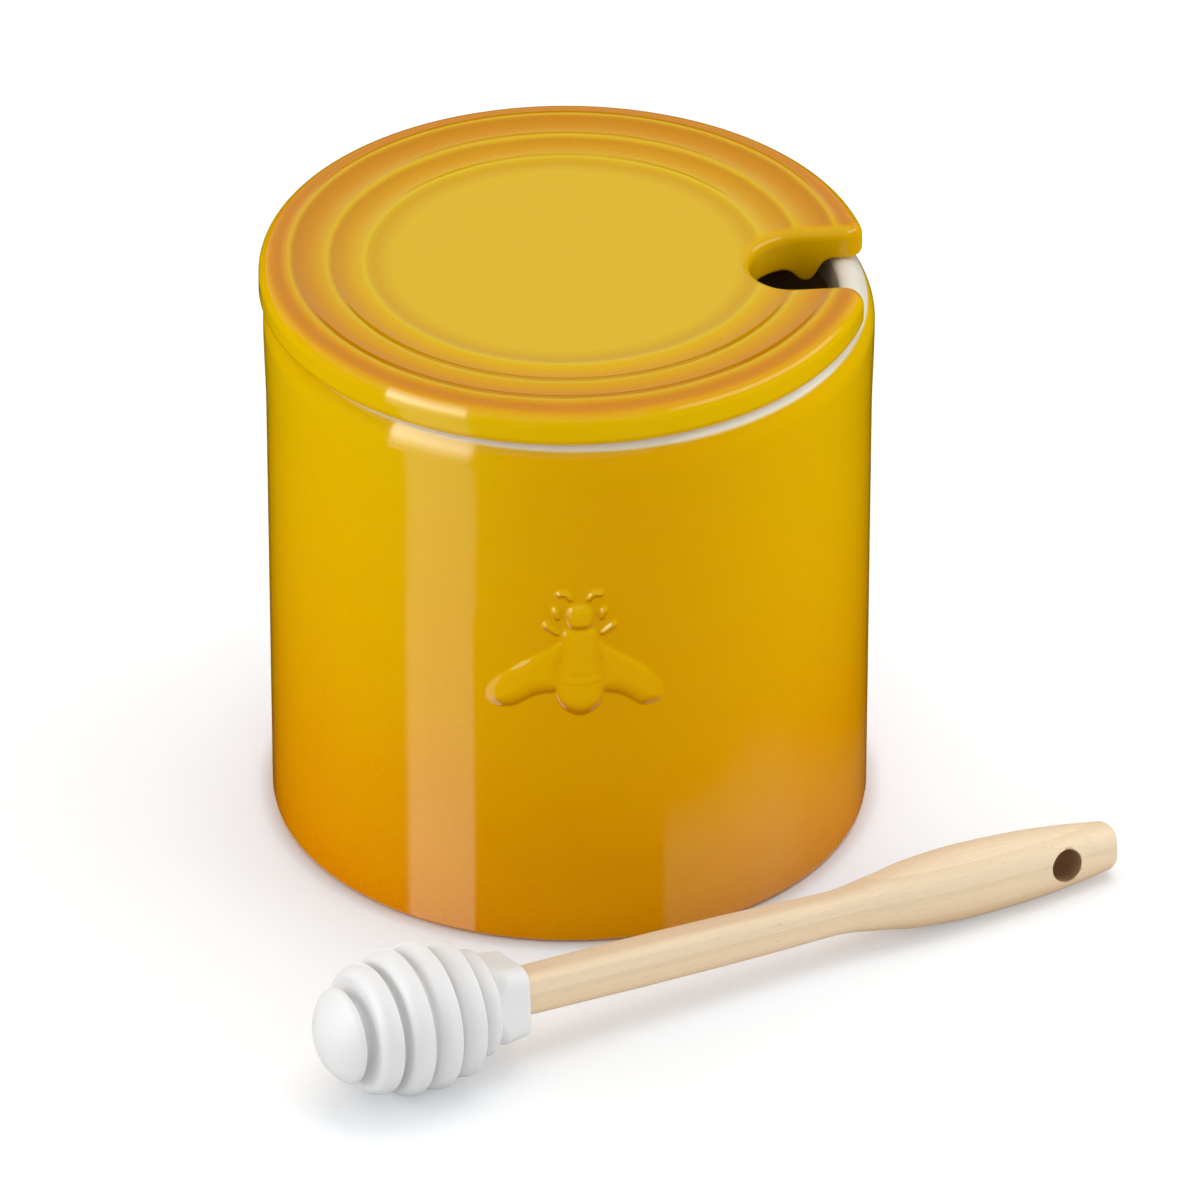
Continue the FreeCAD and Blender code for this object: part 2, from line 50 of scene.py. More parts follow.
def smooth_step(low, high, value):
    t = np.clip((np.asarray(value, float) - low) / (high - low), 0.0, 1.0)
    return t * t * (3.0 - 2.0 * t)


def blur(values, sigma):
    """Gaussian smoothing of evenly spaced values along the first axis."""
    reach = max(1, int(math.ceil(3 * sigma)))
    weights = np.exp(-0.5 * (np.arange(-reach, reach + 1) / sigma) ** 2)
    weights /= weights.sum()
    padded = np.concatenate([np.repeat(values[:1], reach, 0), values, np.repeat(values[-1:], reach, 0)])
    out = np.zeros_like(values)
    for index, weight in enumerate(weights):
        out += weight * padded[index:index + len(values)]
    return out


def curve_through(xs, ys, at):
    """Smooth curve through points that never overshoots them."""
    xs, ys = np.asarray(xs, float), np.asarray(ys, float)
    step, slope = np.diff(xs), np.diff(ys) / np.diff(xs)
    tangent = np.zeros(len(xs))
    tangent[0], tangent[-1] = slope[0], slope[-1]
    for i in range(1, len(xs) - 1):
        if slope[i - 1] * slope[i] > 0:
            w1, w2 = 2 * step[i] + step[i - 1], step[i] + 2 * step[i - 1]
            tangent[i] = (w1 + w2) / (w1 / slope[i - 1] + w2 / slope[i])
    at = np.clip(np.asarray(at, float), xs[0], xs[-1])
    i = np.clip(np.searchsorted(xs, at, side="right") - 1, 0, len(xs) - 2)
    t = (at - xs[i]) / step[i]
    return ((1 + 2 * t) * (1 - t) ** 2 * ys[i] + t * (1 - t) ** 2 * step[i] * tangent[i]
            + t * t * (3 - 2 * t) * ys[i + 1] + t * t * (t - 1) * step[i] * tangent[i + 1])


def full_turn(count):
    return np.arange(count) / count * 2 * math.pi


def ring_points(rings, turn):
    """Points at turns round an axis, on rings given as radius and height."""
    return np.concatenate([np.column_stack([r * np.cos(turn), r * np.sin(turn), np.full(len(turn), z)])
                           for r, z in rings])


def strip_faces(rows, columns):
    """Quads between rows of a round strip, each row running counter-clockwise seen from its end."""
    here = np.arange(rows * columns).reshape(rows, columns)
    beside = np.roll(here, -1, 1)
    return np.stack([here[:-1], beside[:-1], beside[1:], here[1:]], -1).reshape(-1, 4).tolist()


def tube_faces(rows, columns):
    """Faces of such a strip with both ends closed."""
    ends = [tuple(reversed(range(columns))), tuple(range((rows - 1) * columns, rows * columns))]
    return strip_faces(rows, columns) + ends


def make_object(name, points, faces, fields=None, sharp=None):
    """A smooth-shaded object from points in millimetres, with named values at its points."""
    mesh = bpy.data.meshes.new(name)
    mesh.from_pydata((np.asarray(points, float) * MM).tolist(), [], faces)
    mesh.validate()
    mesh.polygons.foreach_set("use_smooth", [True] * len(mesh.polygons))
    for field, values in (fields or {}).items():
        values = np.asarray(values, np.float32)
        kind, key = ("FLOAT", "value") if values.ndim == 1 else ("FLOAT_VECTOR", "vector")
        mesh.attributes.new(field, kind, "POINT").data.foreach_set(key, values.ravel())
    if sharp is not None:
        mesh.set_sharp_from_angle(angle=math.radians(sharp))
    mesh.update()
    piece = bpy.data.objects.new(name, mesh)
    scene.collection.objects.link(piece)
    return piece


# Jar

WALL_FOOT, WALL_TOP, WALL_TOP_AT = 49.5, 49.9, 79.9
RIM_WIDE, RIM_WIDE_AT, POT_HEIGHT = 50.25, 90.7, 95.9
WALL_START, WALL_AT_RIM, FLARE_BELOW_TOP = 2.2, 49.954, 6.0
BORE, FLOOR, INNER_BEND, BASE_BEND, RIM_BEND = 44.4, 6.5, 8.0, 1.2, 1.7
BORE_TOP = 88.0
RIM_ARC, RIM_ARC_END = 5.911, 47.15
POLE = 0.01
RECESS_RADII, RECESS = (POLE, 12.0, 24.0, 36.0, 40.0), 0.7
# The foot ring: radius, height, how far it is bare clay, how far it is white glaze
FOOT_RING = ((40.6, 0.62, 0.3, 1.0), (41.1, 0.35, 1.0, 0.6), (41.5, 0.08, 1.0, 0.0),
             (42.0, 0.0, 1.0, 0.0), (47.4, 0.0, 1.0, 0.0))
BARE_TURN = 0.35
# Radii on top of the rim, and how far each lies below the jar's height
RIM_TOP = ((46.95, 0.14), (46.6, 0.03), (46.3, 0.0))
FLOOR_RADII = (30.0, 20.0, 10.0, POLE)
# The coloured glaze ends on the rim, lower on the right than on the left
GLAZE_END, GLAZE_LEAN, GLAZE_BELOW, GLAZE_ABOVE = 94.7, 0.35, 0.45, 0.3
ON_WALL, ON_RIM = 1.0, 2.0
BEE_ARC, BEE_RADIUS, BEE_RELIEF = 1.8, 49.75, 1.1
BEE_HALF, BEE_LOW, BEE_HIGH = 16.4, 40.0, 70.5
BEE_ROW, BEE_BLUR = 0.21, 1.2
BEE_COLUMNS, OTHER_COLUMNS = 158, 132

# The bee's drawing: millimetres right of its middle, and height above the table
LEFT_WING = ((-2.2, 59.3), (-3.5, 58.7), (-5.6, 57.1), (-9.0, 55.1), (-11.5, 53.2), (-13.8, 51.1),
             (-15.2, 48.9), (-15.2, 47.2), (-14.2, 46.1), (-12.7, 45.8), (-10.9, 46.2), (-9.2, 47.2),
             (-7.6, 48.3), (-6.0, 48.9), (-4.3, 49.2), (-2.4, 50.4))
RIGHT_WING = ((2.2, 59.3), (3.6, 58.7), (5.0, 57.6), (6.7, 56.4), (10.0, 53.9), (12.3, 51.3),
              (13.7, 48.8), (13.8, 47.3), (13.0, 46.3), (11.0, 45.9), (9.6, 46.3), (8.0, 47.6),
              (6.3, 48.6), (4.4, 49.1), (2.4, 50.3))
# Right halves, from top to bottom, of the forms that are the same on both sides
ABDOMEN = ((0.0, 57.5), (2.9, 56.4), (4.1, 53.6), (4.3, 51.2), (4.05, 49.0), (3.4, 47.1),
           (1.9, 45.5), (0.0, 44.9))
THORAX = ((0.0, 61.6), (2.2, 61.4), (3.05, 60.4), (3.2, 58.6), (3.4, 56.6), (3.0, 55.0), (0.0, 54.2))
BEE_HEAD = ((0.0, 66.0), (1.2, 65.8), (2.05, 65.0), (2.3, 63.8), (2.15, 62.4), (1.4, 61.4), (0.0, 61.1))
# Strokes of the feelers and legs: two ends, and the half width at each
BEE_STROKES = (((1.5, 67.1), (1.9, 67.9), 0.26, 0.30), ((1.9, 67.9), (2.6, 68.25), 0.30, 0.30),
               ((2.6, 68.25), (3.3, 68.15), 0.30, 0.42), ((3.6, 63.5), (3.95, 65.0), 0.28, 0.46),
               ((3.7, 60.6), (5.45, 62.1), 0.28, 0.46))
BEE_BANDS = (52.6, 50.75)
# Each form's height as a share of the relief, and the depth from its outline where it levels off
WING_RISE, WING_REACH = 0.80, 4.6
ABDOMEN_RISE, ABDOMEN_REACH = 0.98, 3.7
THORAX_RISE, THORAX_REACH = 0.86, 2.9
BEE_HEAD_RISE, BEE_HEAD_REACH = 0.84, 2.1
STROKE_RISE, STROKE_REACH, STROKE_GROWTH = 0.80, 0.55, 0.08
BAND_DEPTH, BAND_WIDTH, BAND_BEND = 0.15, 0.28, 0.05
PILLOW_ROUND, JOIN_POWER, LOOP_STEPS = 0.65, 7, 10


def smooth_loop(points):
    """Closed smooth outline through a few points."""
    points = np.asarray(points, float)
    out = []
    for i in range(len(points)):
        a, b, c, d = (points[(i + k) % len(points)] for k in (-1, 0, 1, 2))
        for t in np.arange(LOOP_STEPS) / LOOP_STEPS:
            out.append(0.5 * (2 * b + (c - a) * t + (2 * a - 5 * b + 4 * c - d) * t * t
                              + (3 * b - a - 3 * c + d) * t ** 3))
    return np.array(out)


def to_segment(x, y, a, b):
    """Distance from places to the straight line between two ends, and where on it that is nearest."""
    edge = np.subtract(b, a)
    t = np.clip(((x - a[0]) * edge[0] + (y - a[1]) * edge[1]) / max(edge @ edge, 1e-12), 0, 1)
    return np.hypot(x - a[0] - t * edge[0], y - a[1] - t * edge[1]), t


def inside_depth(x, y, loop):
    """Distance to a closed outline, positive inside it."""
    best = np.full(x.shape, 1e9)
    inside = np.zeros(x.shape, bool)
    for a, b in zip(loop, np.roll(loop, -1, 0)):
        best = np.minimum(best, to_segment(x, y, a, b)[0])
        run, rise = b - a
        crosses = (a[1] > y) != (b[1] > y)
        inside ^= crosses & (x < a[0] + (y - a[1]) * run / (rise if abs(rise) > 1e-12 else 1e-12))
    return np.where(inside, best, -best)


def pillow(depth, reach):
    """Soft rise from an outline to a rounded top that is level from the given depth inwards."""
    t = np.clip(depth / reach, 0.0, 1.0)
    return (1.0 - (1.0 - t) ** 2) ** PILLOW_ROUND


def bee_relief(arc, height):
    """How far the bee stands out of the wall at places on it."""
    side, y = arc - BEE_ARC, height
    x = np.abs(side)

    def form(across, outline, rise, reach):
        return rise * pillow(inside_depth(across, y, smooth_loop(outline)), reach)

    def whole(half):
        return np.array(list(half) + [(-px, py) for px, py in half[-2:0:-1]])

    parts = [form(side, wing, WING_RISE, WING_REACH) for wing in (LEFT_WING, RIGHT_WING)]
    abdomen = form(x, whole(ABDOMEN), ABDOMEN_RISE, ABDOMEN_REACH)
    for band in BEE_BANDS:
        line = y - band - BAND_BEND * x * x
        abdomen -= BAND_DEPTH * np.exp(-(line / BAND_WIDTH) ** 2) * smooth_step(0.35, 0.8, abdomen)
    parts.append(abdomen)
    parts.append(form(x, whole(THORAX), THORAX_RISE, THORAX_REACH))
    parts.append(form(x, whole(BEE_HEAD), BEE_HEAD_RISE, BEE_HEAD_REACH))
    relief = np.sum(np.maximum(parts, 0.0) ** JOIN_POWER, 0) ** (1 / JOIN_POWER)
    for start, end, first, last in BEE_STROKES:
        away, t = to_segment(x, y, start, end)
        depth = first + (last - first) * t - away + STROKE_GROWTH
        relief = np.maximum(relief, STROKE_RISE * pillow(depth, STROKE_REACH))
    return BEE_RELIEF * relief


def jar_profile():
    """The jar's section from the middle of its underside, up the wall, over the rim and down inside.

    Gives radius, height, how far it is bare foot, how far it is white glaze, and if it is wall or rim.
    """
    rows = []

    def add(radius, height, foot=0.0, white=0.0, zone=0.0):
        rows.append((radius, height, foot, white, zone))

    for radius in RECESS_RADII:
        add(radius, RECESS, white=1.0)
    for place in FOOT_RING:
        add(*place)
    for turn in np.radians(np.linspace(0, 84, 8)):
        add(WALL_FOOT - BASE_BEND * (1 - math.sin(turn)), BASE_BEND * (1 - math.cos(turn)),
            1.0 if turn < BARE_TURN else 0.0)
    wall = np.concatenate([np.linspace(WALL_START, BEE_LOW, 26), np.linspace(BEE_LOW, BEE_HIGH, 146)[1:],
                           np.linspace(BEE_HIGH, RIM_WIDE_AT, 20)[1:]])
    for height in wall:
        radius = WALL_FOOT + (WALL_TOP - WALL_FOOT) * height / WALL_TOP_AT
        flare = smooth_step(WALL_TOP_AT - FLARE_BELOW_TOP, RIM_WIDE_AT, height)
        add(radius + (RIM_WIDE - WALL_AT_RIM) * flare, height, zone=ON_WALL)
    last = math.degrees(math.atan2(POT_HEIGHT - RIM_WIDE_AT, RIM_ARC_END - (RIM_WIDE - RIM_ARC)))
    for turn in np.radians(np.linspace(3, last - 4, 26)):
        add(RIM_WIDE - RIM_ARC * (1 - math.cos(turn)), RIM_WIDE_AT + RIM_ARC * math.sin(turn), zone=ON_RIM)
    for radius, drop in RIM_TOP:
        add(radius, POT_HEIGHT - drop, white=1.0)
    for turn in np.radians(np.linspace(8, 90, 9)):
        add(BORE + RIM_BEND * (1 - math.sin(turn)), POT_HEIGHT - RIM_BEND * (1 - math.cos(turn)),
            white=1.0)
    for height in np.linspace(BORE_TOP, FLOOR + INNER_BEND + 4, 18):
        add(BORE, height, white=1.0)
    for turn in np.radians(np.linspace(0, 90, 12)):
        add(BORE - INNER_BEND * (1 - math.cos(turn)), FLOOR + INNER_BEND * (1 - math.sin(turn)),
            white=1.0)
    for radius in FLOOR_RADII:
        add(radius, FLOOR, white=1.0)
    return np.array(rows)


def make_pot():
    section = jar_profile()
    left, right = BEE_ARC - BEE_HALF, BEE_ARC + BEE_HALF
    dense = np.linspace(left, right, BEE_COLUMNS) / BEE_RADIUS
    rest = np.linspace(right / BEE_RADIUS, left / BEE_RADIUS + 2 * math.pi, OTHER_COLUMNS)[1:-1]
    around = np.concatenate([dense, rest])
    columns = len(around)
    radius, height, foot, white, _ = (np.repeat(column[:, None], columns, 1) for column in section.T)
    arc = np.repeat(((around + math.pi) % (2 * math.pi) - math.pi)[None] * BEE_RADIUS, len(section), 0)
    relief = np.zeros_like(radius)
    near = (section[:, 4] == ON_WALL) & (section[:, 1] > BEE_LOW) & (section[:, 1] < BEE_HIGH)
    rows, count = np.where(near)[0], len(dense)
    raw = bee_relief(arc[rows, :count], height[rows, :count])
    relief[rows, :count] = blur(blur(raw, BEE_BLUR).T, BEE_BLUR).T
    radius = radius + relief
    points = np.stack([radius * np.sin(around), -radius * np.cos(around), height], -1).reshape(-1, 3)
    lean = np.zeros_like(relief)
    lean[rows, :count] = -np.gradient(relief[rows, :count], BEE_ROW, axis=0)
    glaze_end = GLAZE_END - GLAZE_LEAN * np.sin(around)[None]
    rim = section[:, 4] == ON_RIM
    white[rim] = smooth_step(glaze_end - GLAZE_BELOW, glaze_end + GLAZE_ABOVE, height[rim])
    fields = {"foot": foot.ravel(), "white": white.ravel(), "lean": np.clip(lean, -1, 1).ravel(),
              "raised": (relief / BEE_RELIEF).ravel()}
    faces = tube_faces(len(section), columns)
    return make_object("pot_stoneware", points, faces, fields)


# Lid

LID_RADIUS, LID_X, LID_Y, SEAT = 50.3, -0.65, 1.0, 95.9
CRESTS = ((33.0, 101.1), (39.2, 101.6), (45.4, 102.1))
DISC_EDGE, DISC_TOP, EDGE_TOP, EDGE_IN = 30.4, 100.75, 101.55, 47.8
NOTCH_HALF, NOTCH_END, MOUTH_BEND = 8.3, 30.3, 3.2
EDGE_ROUND, NOTCH_ROUND, UNDER_ROUND = 2.5, 2.2, 0.8
EDGE_BAND = 3.0
RING_HOLLOW, EDGE_HOLLOW = 0.7, 0.25
TOP_SOFT, UNDER_SOFT, PLAIN_SOFT = 0.34, 0.3, 3.2
# The lid's underside, by radius and height: flat, a locating ring, and the seat on the jar's rim
UNDER_RADII = (0.0, 37.0, 38.3, 39.3, 40.4, 41.5, 42.35, 43.1, 44.0, 45.2, LID_RADIUS)
UNDER_HEIGHTS = (93.85, 93.85, 93.25, 92.0, 91.52, 91.9, 93.4, 95.0, 95.7, SEAT, SEAT)
# The rings fade out between these distances from the notch
RINGS_END, RINGS_FULL = 0.3, 5.0
# The mouth of the notch has round corners within this reach of a place on each side
MOUTH_X, MOUTH_Y, MOUTH_REACH = 46.0, 11.5, 9.0
SIDE_SHARES, LEAST_SIDE = (0.2, 0.4, 0.6, 0.8), 0.05
# Mesh rings on the disc: radius, points
DISC_RINGS = [(2.5, 16), (5.5, 32), (9.0, 48), (13.0, 64), (17.0, 84), (21.0, 108), (24.5, 144),
              (27.3, 200), (29.2, 280)]
CREST_RINGS_FROM, CREST_RING_STEP, CREST_RING_POINTS, BAND_MARGIN = 30.2, 0.34, 340, 0.3
FAR_FROM_EDGE = 9.0

LID_STEP = 0.05
LID_AT = np.arange(0.0, LID_RADIUS + LID_STEP, LID_STEP)


def lid_top_curve():
    """Height of the lid's top over its radius: a disc, and three soft crests with hollows between."""
    height = np.full_like(LID_AT, EDGE_TOP)
    height[LID_AT <= DISC_EDGE] = DISC_TOP
    first, rise = CRESTS[0][0], CRESTS[0][1] - DISC_TOP
    bend = (first - DISC_EDGE) ** 2 / (2 * rise) + rise / 2
    part = (LID_AT > DISC_EDGE) & (LID_AT <= first)
    height[part] = DISC_TOP + bend - np.sqrt(bend ** 2 - (LID_AT[part] - DISC_EDGE) ** 2)
    places = CRESTS + ((EDGE_IN, EDGE_TOP),)
    for (r0, z0), (r1, z1), hollow in zip(places, places[1:], (RING_HOLLOW, RING_HOLLOW, EDGE_HOLLOW)):
        part = (LID_AT > r0) & (LID_AT <= r1)
        t = (LID_AT[part] - r0) / (r1 - r0)
        height[part] = z0 + (z1 - z0) * t - 4 * hollow * t * (1 - t)
    return blur(height, TOP_SOFT / LID_STEP)


LID_TOP = lid_top_curve()
LID_TOP_PLAIN = blur(LID_TOP, PLAIN_SOFT / LID_STEP)
LID_UNDER = blur(np.interp(LID_AT, UNDER_RADII, UNDER_HEIGHTS), UNDER_SOFT / LID_STEP)


def slot_distance(plan):
    """Distance from places on the lid to the notch's straight or round side."""
    end_x = NOTCH_END + NOTCH_HALF
    away = np.where(plan[:, 0] < end_x, np.hypot(plan[:, 0] - end_x, plan[:, 1]), np.abs(plan[:, 1]))
    return away - NOTCH_HALF


def top_level(plan):
    """Height of the lid's top, where the rings fade out towards the notch."""
    reach = np.hypot(plan[:, 0], plan[:, 1])
    ringed, plain = np.interp(reach, LID_AT, LID_TOP), np.interp(reach, LID_AT, LID_TOP_PLAIN)
    return plain + (ringed - plain) * smooth_step(RINGS_END, RINGS_FULL, slot_distance(plan))


def under_level(plan):
    return np.interp(np.hypot(plan[:, 0], plan[:, 1]), LID_AT, LID_UNDER)


def lid_outline():
    """The lid's outline in plan: points, directions into the lid, and how far each is notch edge."""
    corner = (math.sqrt((LID_RADIUS - MOUTH_BEND) ** 2 - (NOTCH_HALF + MOUTH_BEND) ** 2),
              NOTCH_HALF + MOUTH_BEND)
    mouth = math.atan2(corner[1], corner[0])
    end_x = NOTCH_END + NOTCH_HALF
    rows, half = [], []
    for turn in np.linspace(mouth, 2 * math.pi - mouth, 331):
        x, y = math.cos(turn), math.sin(turn)
        rows.append((LID_RADIUS * x, LID_RADIUS * y, -x, -y, 0.0))
    for share in np.linspace(0, 1, 15)[1:]:
        turn = mouth + (-math.pi / 2 - mouth) * share
        x, y = math.cos(turn), math.sin(turn)
        half.append((corner[0] + MOUTH_BEND * x, corner[1] + MOUTH_BEND * y, -x, -y, share))
    half += [(x, NOTCH_HALF, 0.0, 1.0, 1.0) for x in np.linspace(corner[0], end_x, 12)[1:]]
    rows += [(x, -y, nx, -ny, share) for x, y, nx, ny, share in half]
    for turn in np.linspace(-math.pi / 2, -3 * math.pi / 2, 49)[1:]:
        x, y = math.cos(turn), math.sin(turn)
        rows.append((end_x + NOTCH_HALF * x, NOTCH_HALF * y, x, y, 1.0))
    rows = np.array(rows + half[-2::-1])
    return rows[:, :2], rows[:, 2:4], rows[:, 4]


def in_lid(points, margin, loop):
    """Which points lie inside the lid's outline by more than a margin."""
    radius = np.hypot(points[:, 0], points[:, 1])
    keep = (radius < LID_RADIUS - margin) & (slot_distance(points) > margin)
    close = keep & (np.hypot(points[:, 0] - MOUTH_X, np.abs(points[:, 1]) - MOUTH_Y) < MOUTH_REACH)
    keep[close] &= np.abs(inside_depth(*points[close].T, loop)) > margin
    return keep


def make_lid():
    loop, inward, notch = lid_outline()
    count = len(loop)
    rows, depth = [], []
    round_top = EDGE_ROUND + (NOTCH_ROUND - EDGE_ROUND) * smooth_step(0.0, 1.0, notch)

    def place(inset, level, drop):
        plan = loop + inward * np.reshape(inset, (-1, 1))
        return np.column_stack([plan, level(plan) + drop])

    def add(row, inset):
        rows.append(row)
        depth.append(np.full(count, inset))

    turns = np.radians(np.linspace(90, 0, 11))
    add(place(EDGE_BAND, top_level, 0.0), EDGE_BAND)
    for turn in turns:
        inset = round_top * (1 - math.cos(turn))
        add(place(inset, top_level, -round_top * (1 - math.sin(turn))), inset)
    high = rows[-1]
    low = place(0.0, under_level, UNDER_ROUND)
    low[:, 2] = np.minimum(low[:, 2], high[:, 2] - LEAST_SIDE)
    for part in SIDE_SHARES:
        add(high + (low - high) * part, 0.0)
    upper_rows = len(rows)
    for turn in turns[::-1]:
        inset = UNDER_ROUND * (1 - math.cos(turn))
        row = place(inset, under_level, UNDER_ROUND * (1 - math.sin(turn)))
        row[:, 2] = np.minimum(row[:, 2], high[:, 2] - LEAST_SIDE)
        add(row, inset)
    add(place(EDGE_BAND, under_level, 0.0), EDGE_BAND)
    edge = np.concatenate(rows)
    faces = [face[::-1] for face in strip_faces(len(rows), count)]

    inner = [(0.0, 0.0)]
    crest_radii = np.arange(CREST_RINGS_FROM, LID_RADIUS - EDGE_BAND, CREST_RING_STEP)
    rings = DISC_RINGS + [(radius, CREST_RING_POINTS) for radius in crest_radii]
    for index, (radius, many) in enumerate(rings):
        turn = (np.arange(many) + 0.5 * (index % 2)) / many * 2 * math.pi
        inner += list(zip(radius * np.cos(turn), radius * np.sin(turn)))
    inner = np.array(inner)
    inner = inner[in_lid(inner, EDGE_BAND + BAND_MARGIN, loop)]
    border = rows[0][:, :2]
    plan = [Vector(point) for point in np.concatenate([border, inner])]
    ring = [(index, (index + 1) % count) for index in range(count)]
    made, _, triangles, *_ = delaunay_2d_cdt(plan, ring, [], 1, 1e-6)
    if len(made) != len(plan):
        raise RuntimeError("the lid's plan gained points")
    many, total, triangles = len(inner), len(edge), np.array(triangles)
    upper = np.r_[:count, total:total + many]
    lower = np.r_[total - count:total, total + many:total + 2 * many]
    faces += upper[triangles].tolist() + lower[triangles[:, ::-1]].tolist()
    points = np.concatenate([edge, np.column_stack([inner, top_level(inner)]),
                             np.column_stack([inner, under_level(inner)])])
    under = np.concatenate([np.zeros(count * upper_rows), np.ones(count * (len(rows) - upper_rows)),
                            np.zeros(many), np.ones(many)])
    inset = np.concatenate(depth + [np.full(2 * many, FAR_FROM_EDGE)])
    side = np.concatenate([notch] * len(rows) + [np.zeros(2 * many)])
    reach = np.hypot(points[:, 0], points[:, 1])
    fields = {"reach": reach, "inset": inset, "under": under, "notch": side}
    points = points + np.array([LID_X, LID_Y, 0.0])
    return make_object("lid_stoneware", points, faces, fields)


# Dipper: x runs along it from the tip of its head, y across its thickness, z up its height

TIP = np.array([-40.284933, -98.852082, 13.419753])
TURN = np.array([[0.873628, -0.4853286, -0.0350757],
                 [0.4832637, 0.8569713, 0.1790426],
                 [-0.0568356, -0.1733675, 0.9832159]])
HEAD_LENGTH = 35.9
# Thickness, height, corner and length
TENON = (5.0, 5.6, 1.2, 19.0)
SOCKET_CLEARANCE, SOCKET_DEPTH = 0.08, 20.0


def lay(points):
    """The dipper's own points, put where it lies in front of the jar."""
    return TIP + np.asarray(points) @ TURN.T


def rounded_section(thick, tall, corner, turn):
    """Distance from the middle of a round-cornered rectangle to its edge, in given directions."""
    u, v = np.abs(np.cos(turn)), np.abs(np.sin(turn))
    flat = np.minimum(thick / 2 / np.maximum(u, 1e-9), tall / 2 / np.maximum(v, 1e-9))
    a, b = thick / 2 - corner, tall / 2 - corner
    along = a * u + b * v
    arc = along + np.sqrt(np.maximum(along ** 2 - a * a - b * b + corner ** 2, 0))
    in_corner = (flat * u > a) & (flat * v > b)
    return np.where(in_corner, np.minimum(arc, flat), flat)


# Backs and radii of the ribs, and the floors of the grooves in front of them
RIBS = ((10.05, 10.85), (15.05, 12.2), (20.05, 12.25), (25.05, 11.3), (29.05, 8.95))
GROOVES = (5.5, 8.35, 9.7, 8.8, 6.45)
RIB_THICK, LAST_RIB_THICK, RIB_BACK, GROOVE_BEND = 3.5, 2.625, 0.34, 0.55
RIB_FRONT_SHARE, RIB_FRONT_DROP = 0.77, 1.9
DOME_RADIUS, DOME_HEIGHT, DOME_END, DOME_EDGE = 8.0, 3.75, 4.6, 0.32
COLLAR_START, COLLAR_ROUND, COLLAR_SIDE, COLLAR_CORNER = 29.05, 13.8, 12.3, 2.8
COLLAR_END_ROUND, ROUND_CORNER_SHARE, SQUARE_FROM = 0.7, 0.49, 0.45
HEAD_COLUMNS = 160
# The socket from its mouth inwards: depth, and how far it is wider than the rest
SOCKET = ((0.0, 0.35), (0.1, 0.12), (0.35, 0.0), (8.0, 0.0), (SOCKET_DEPTH - 0.3, 0.0))


def head_profile():
    """Section of the head's round part: dome, its rim, and ribs with hollows between them."""
    rows = []

    def bend(x, radius, size, first, last, steps):
        for turn in np.radians(np.linspace(first, last, steps)):
            rows.append((x + size * math.cos(turn), radius + size * math.sin(turn)))

    ball = (DOME_RADIUS ** 2 / DOME_HEIGHT + DOME_HEIGHT) / 2
    last = math.asin(DOME_RADIUS / ball)
    for turn in np.linspace(0.002, last * 0.975, 24):
        rows.append((ball * (1 - math.cos(turn)), ball * math.sin(turn)))
    rows += [(DOME_HEIGHT + 0.1, DOME_RADIUS - 0.03), (DOME_HEIGHT + 0.3, DOME_RADIUS)]
    bend(DOME_END - DOME_EDGE, DOME_RADIUS - DOME_EDGE, DOME_EDGE, 88, 0, 6)
    before = DOME_END
    for (back, radius), floor in zip(RIBS, GROOVES):
        thick = LAST_RIB_THICK if back == RIBS[-1][0] else RIB_THICK
        front, swell = back - thick, thick * RIB_FRONT_SHARE
        bend(before + GROOVE_BEND, floor + GROOVE_BEND, GROOVE_BEND, 180, 270, 6)
        bend(front - GROOVE_BEND, floor + GROOVE_BEND, GROOVE_BEND, 270, 360, 6)
        for turn in np.radians(np.linspace(178, 90, 18)):
            rows.append((front + swell * (1 + math.cos(turn)),
                         radius - RIB_FRONT_DROP * (1 - math.sin(turn))))
        rows.append((back - RIB_BACK - 0.08, radius))
        bend(back - RIB_BACK, radius - RIB_BACK, RIB_BACK, 90, 0, 7)
        before = back
    return rows


def make_head():
    turn = full_turn(HEAD_COLUMNS)
    rows = head_profile()
    round_corner = COLLAR_ROUND * ROUND_CORNER_SHARE
    for share in np.linspace(0, 1, 26):
        x = COLLAR_START + (HEAD_LENGTH - COLLAR_END_ROUND - COLLAR_START) * share
        side = COLLAR_ROUND + (COLLAR_SIDE - COLLAR_ROUND) * share
        corner = round_corner + (COLLAR_CORNER - round_corner) * smooth_step(0.0, SQUARE_FROM, share)
        rows.append((x, rounded_section(side, side, corner, turn)))
    for angle in np.radians((20, 40, 60, 75, 90)):
        inset = COLLAR_END_ROUND * (1 - math.cos(angle))
        side = COLLAR_SIDE - 2 * inset
        rows.append((HEAD_LENGTH - COLLAR_END_ROUND * (1 - math.sin(angle)),
                     rounded_section(side, side, COLLAR_CORNER - inset, turn)))
    thick, tall = TENON[0] + 2 * SOCKET_CLEARANCE, TENON[1] + 2 * SOCKET_CLEARANCE
    mouth = rounded_section(thick, tall, TENON[2] + SOCKET_CLEARANCE, turn)
    rows += [(HEAD_LENGTH - depth, mouth + wider) for depth, wider in SOCKET]
    rows += [(HEAD_LENGTH - SOCKET_DEPTH, mouth * share) for share in (0.9, 0.01)]
    points = ring_points([(reach, x) for x, reach in rows], turn)[:, (2, 0, 1)]
    faces = tube_faces(len(rows), HEAD_COLUMNS)
    return make_object("dipper_silicone_head", lay(points), faces, {"along": points}, sharp=50)


# Sections of the handle: place, thickness, height, corner
NECK, WAIST = (35.9, 6.4, 7.2, 1.6), (95.0, 6.0, 6.7, 1.9)
GRIP, TAIL = (120.0, 10.0, 12.4, 4.6), (146.6, 6.6, 8.4, 3.1)
NECK_STEPS, NECK_SWELL = 7, 0.12
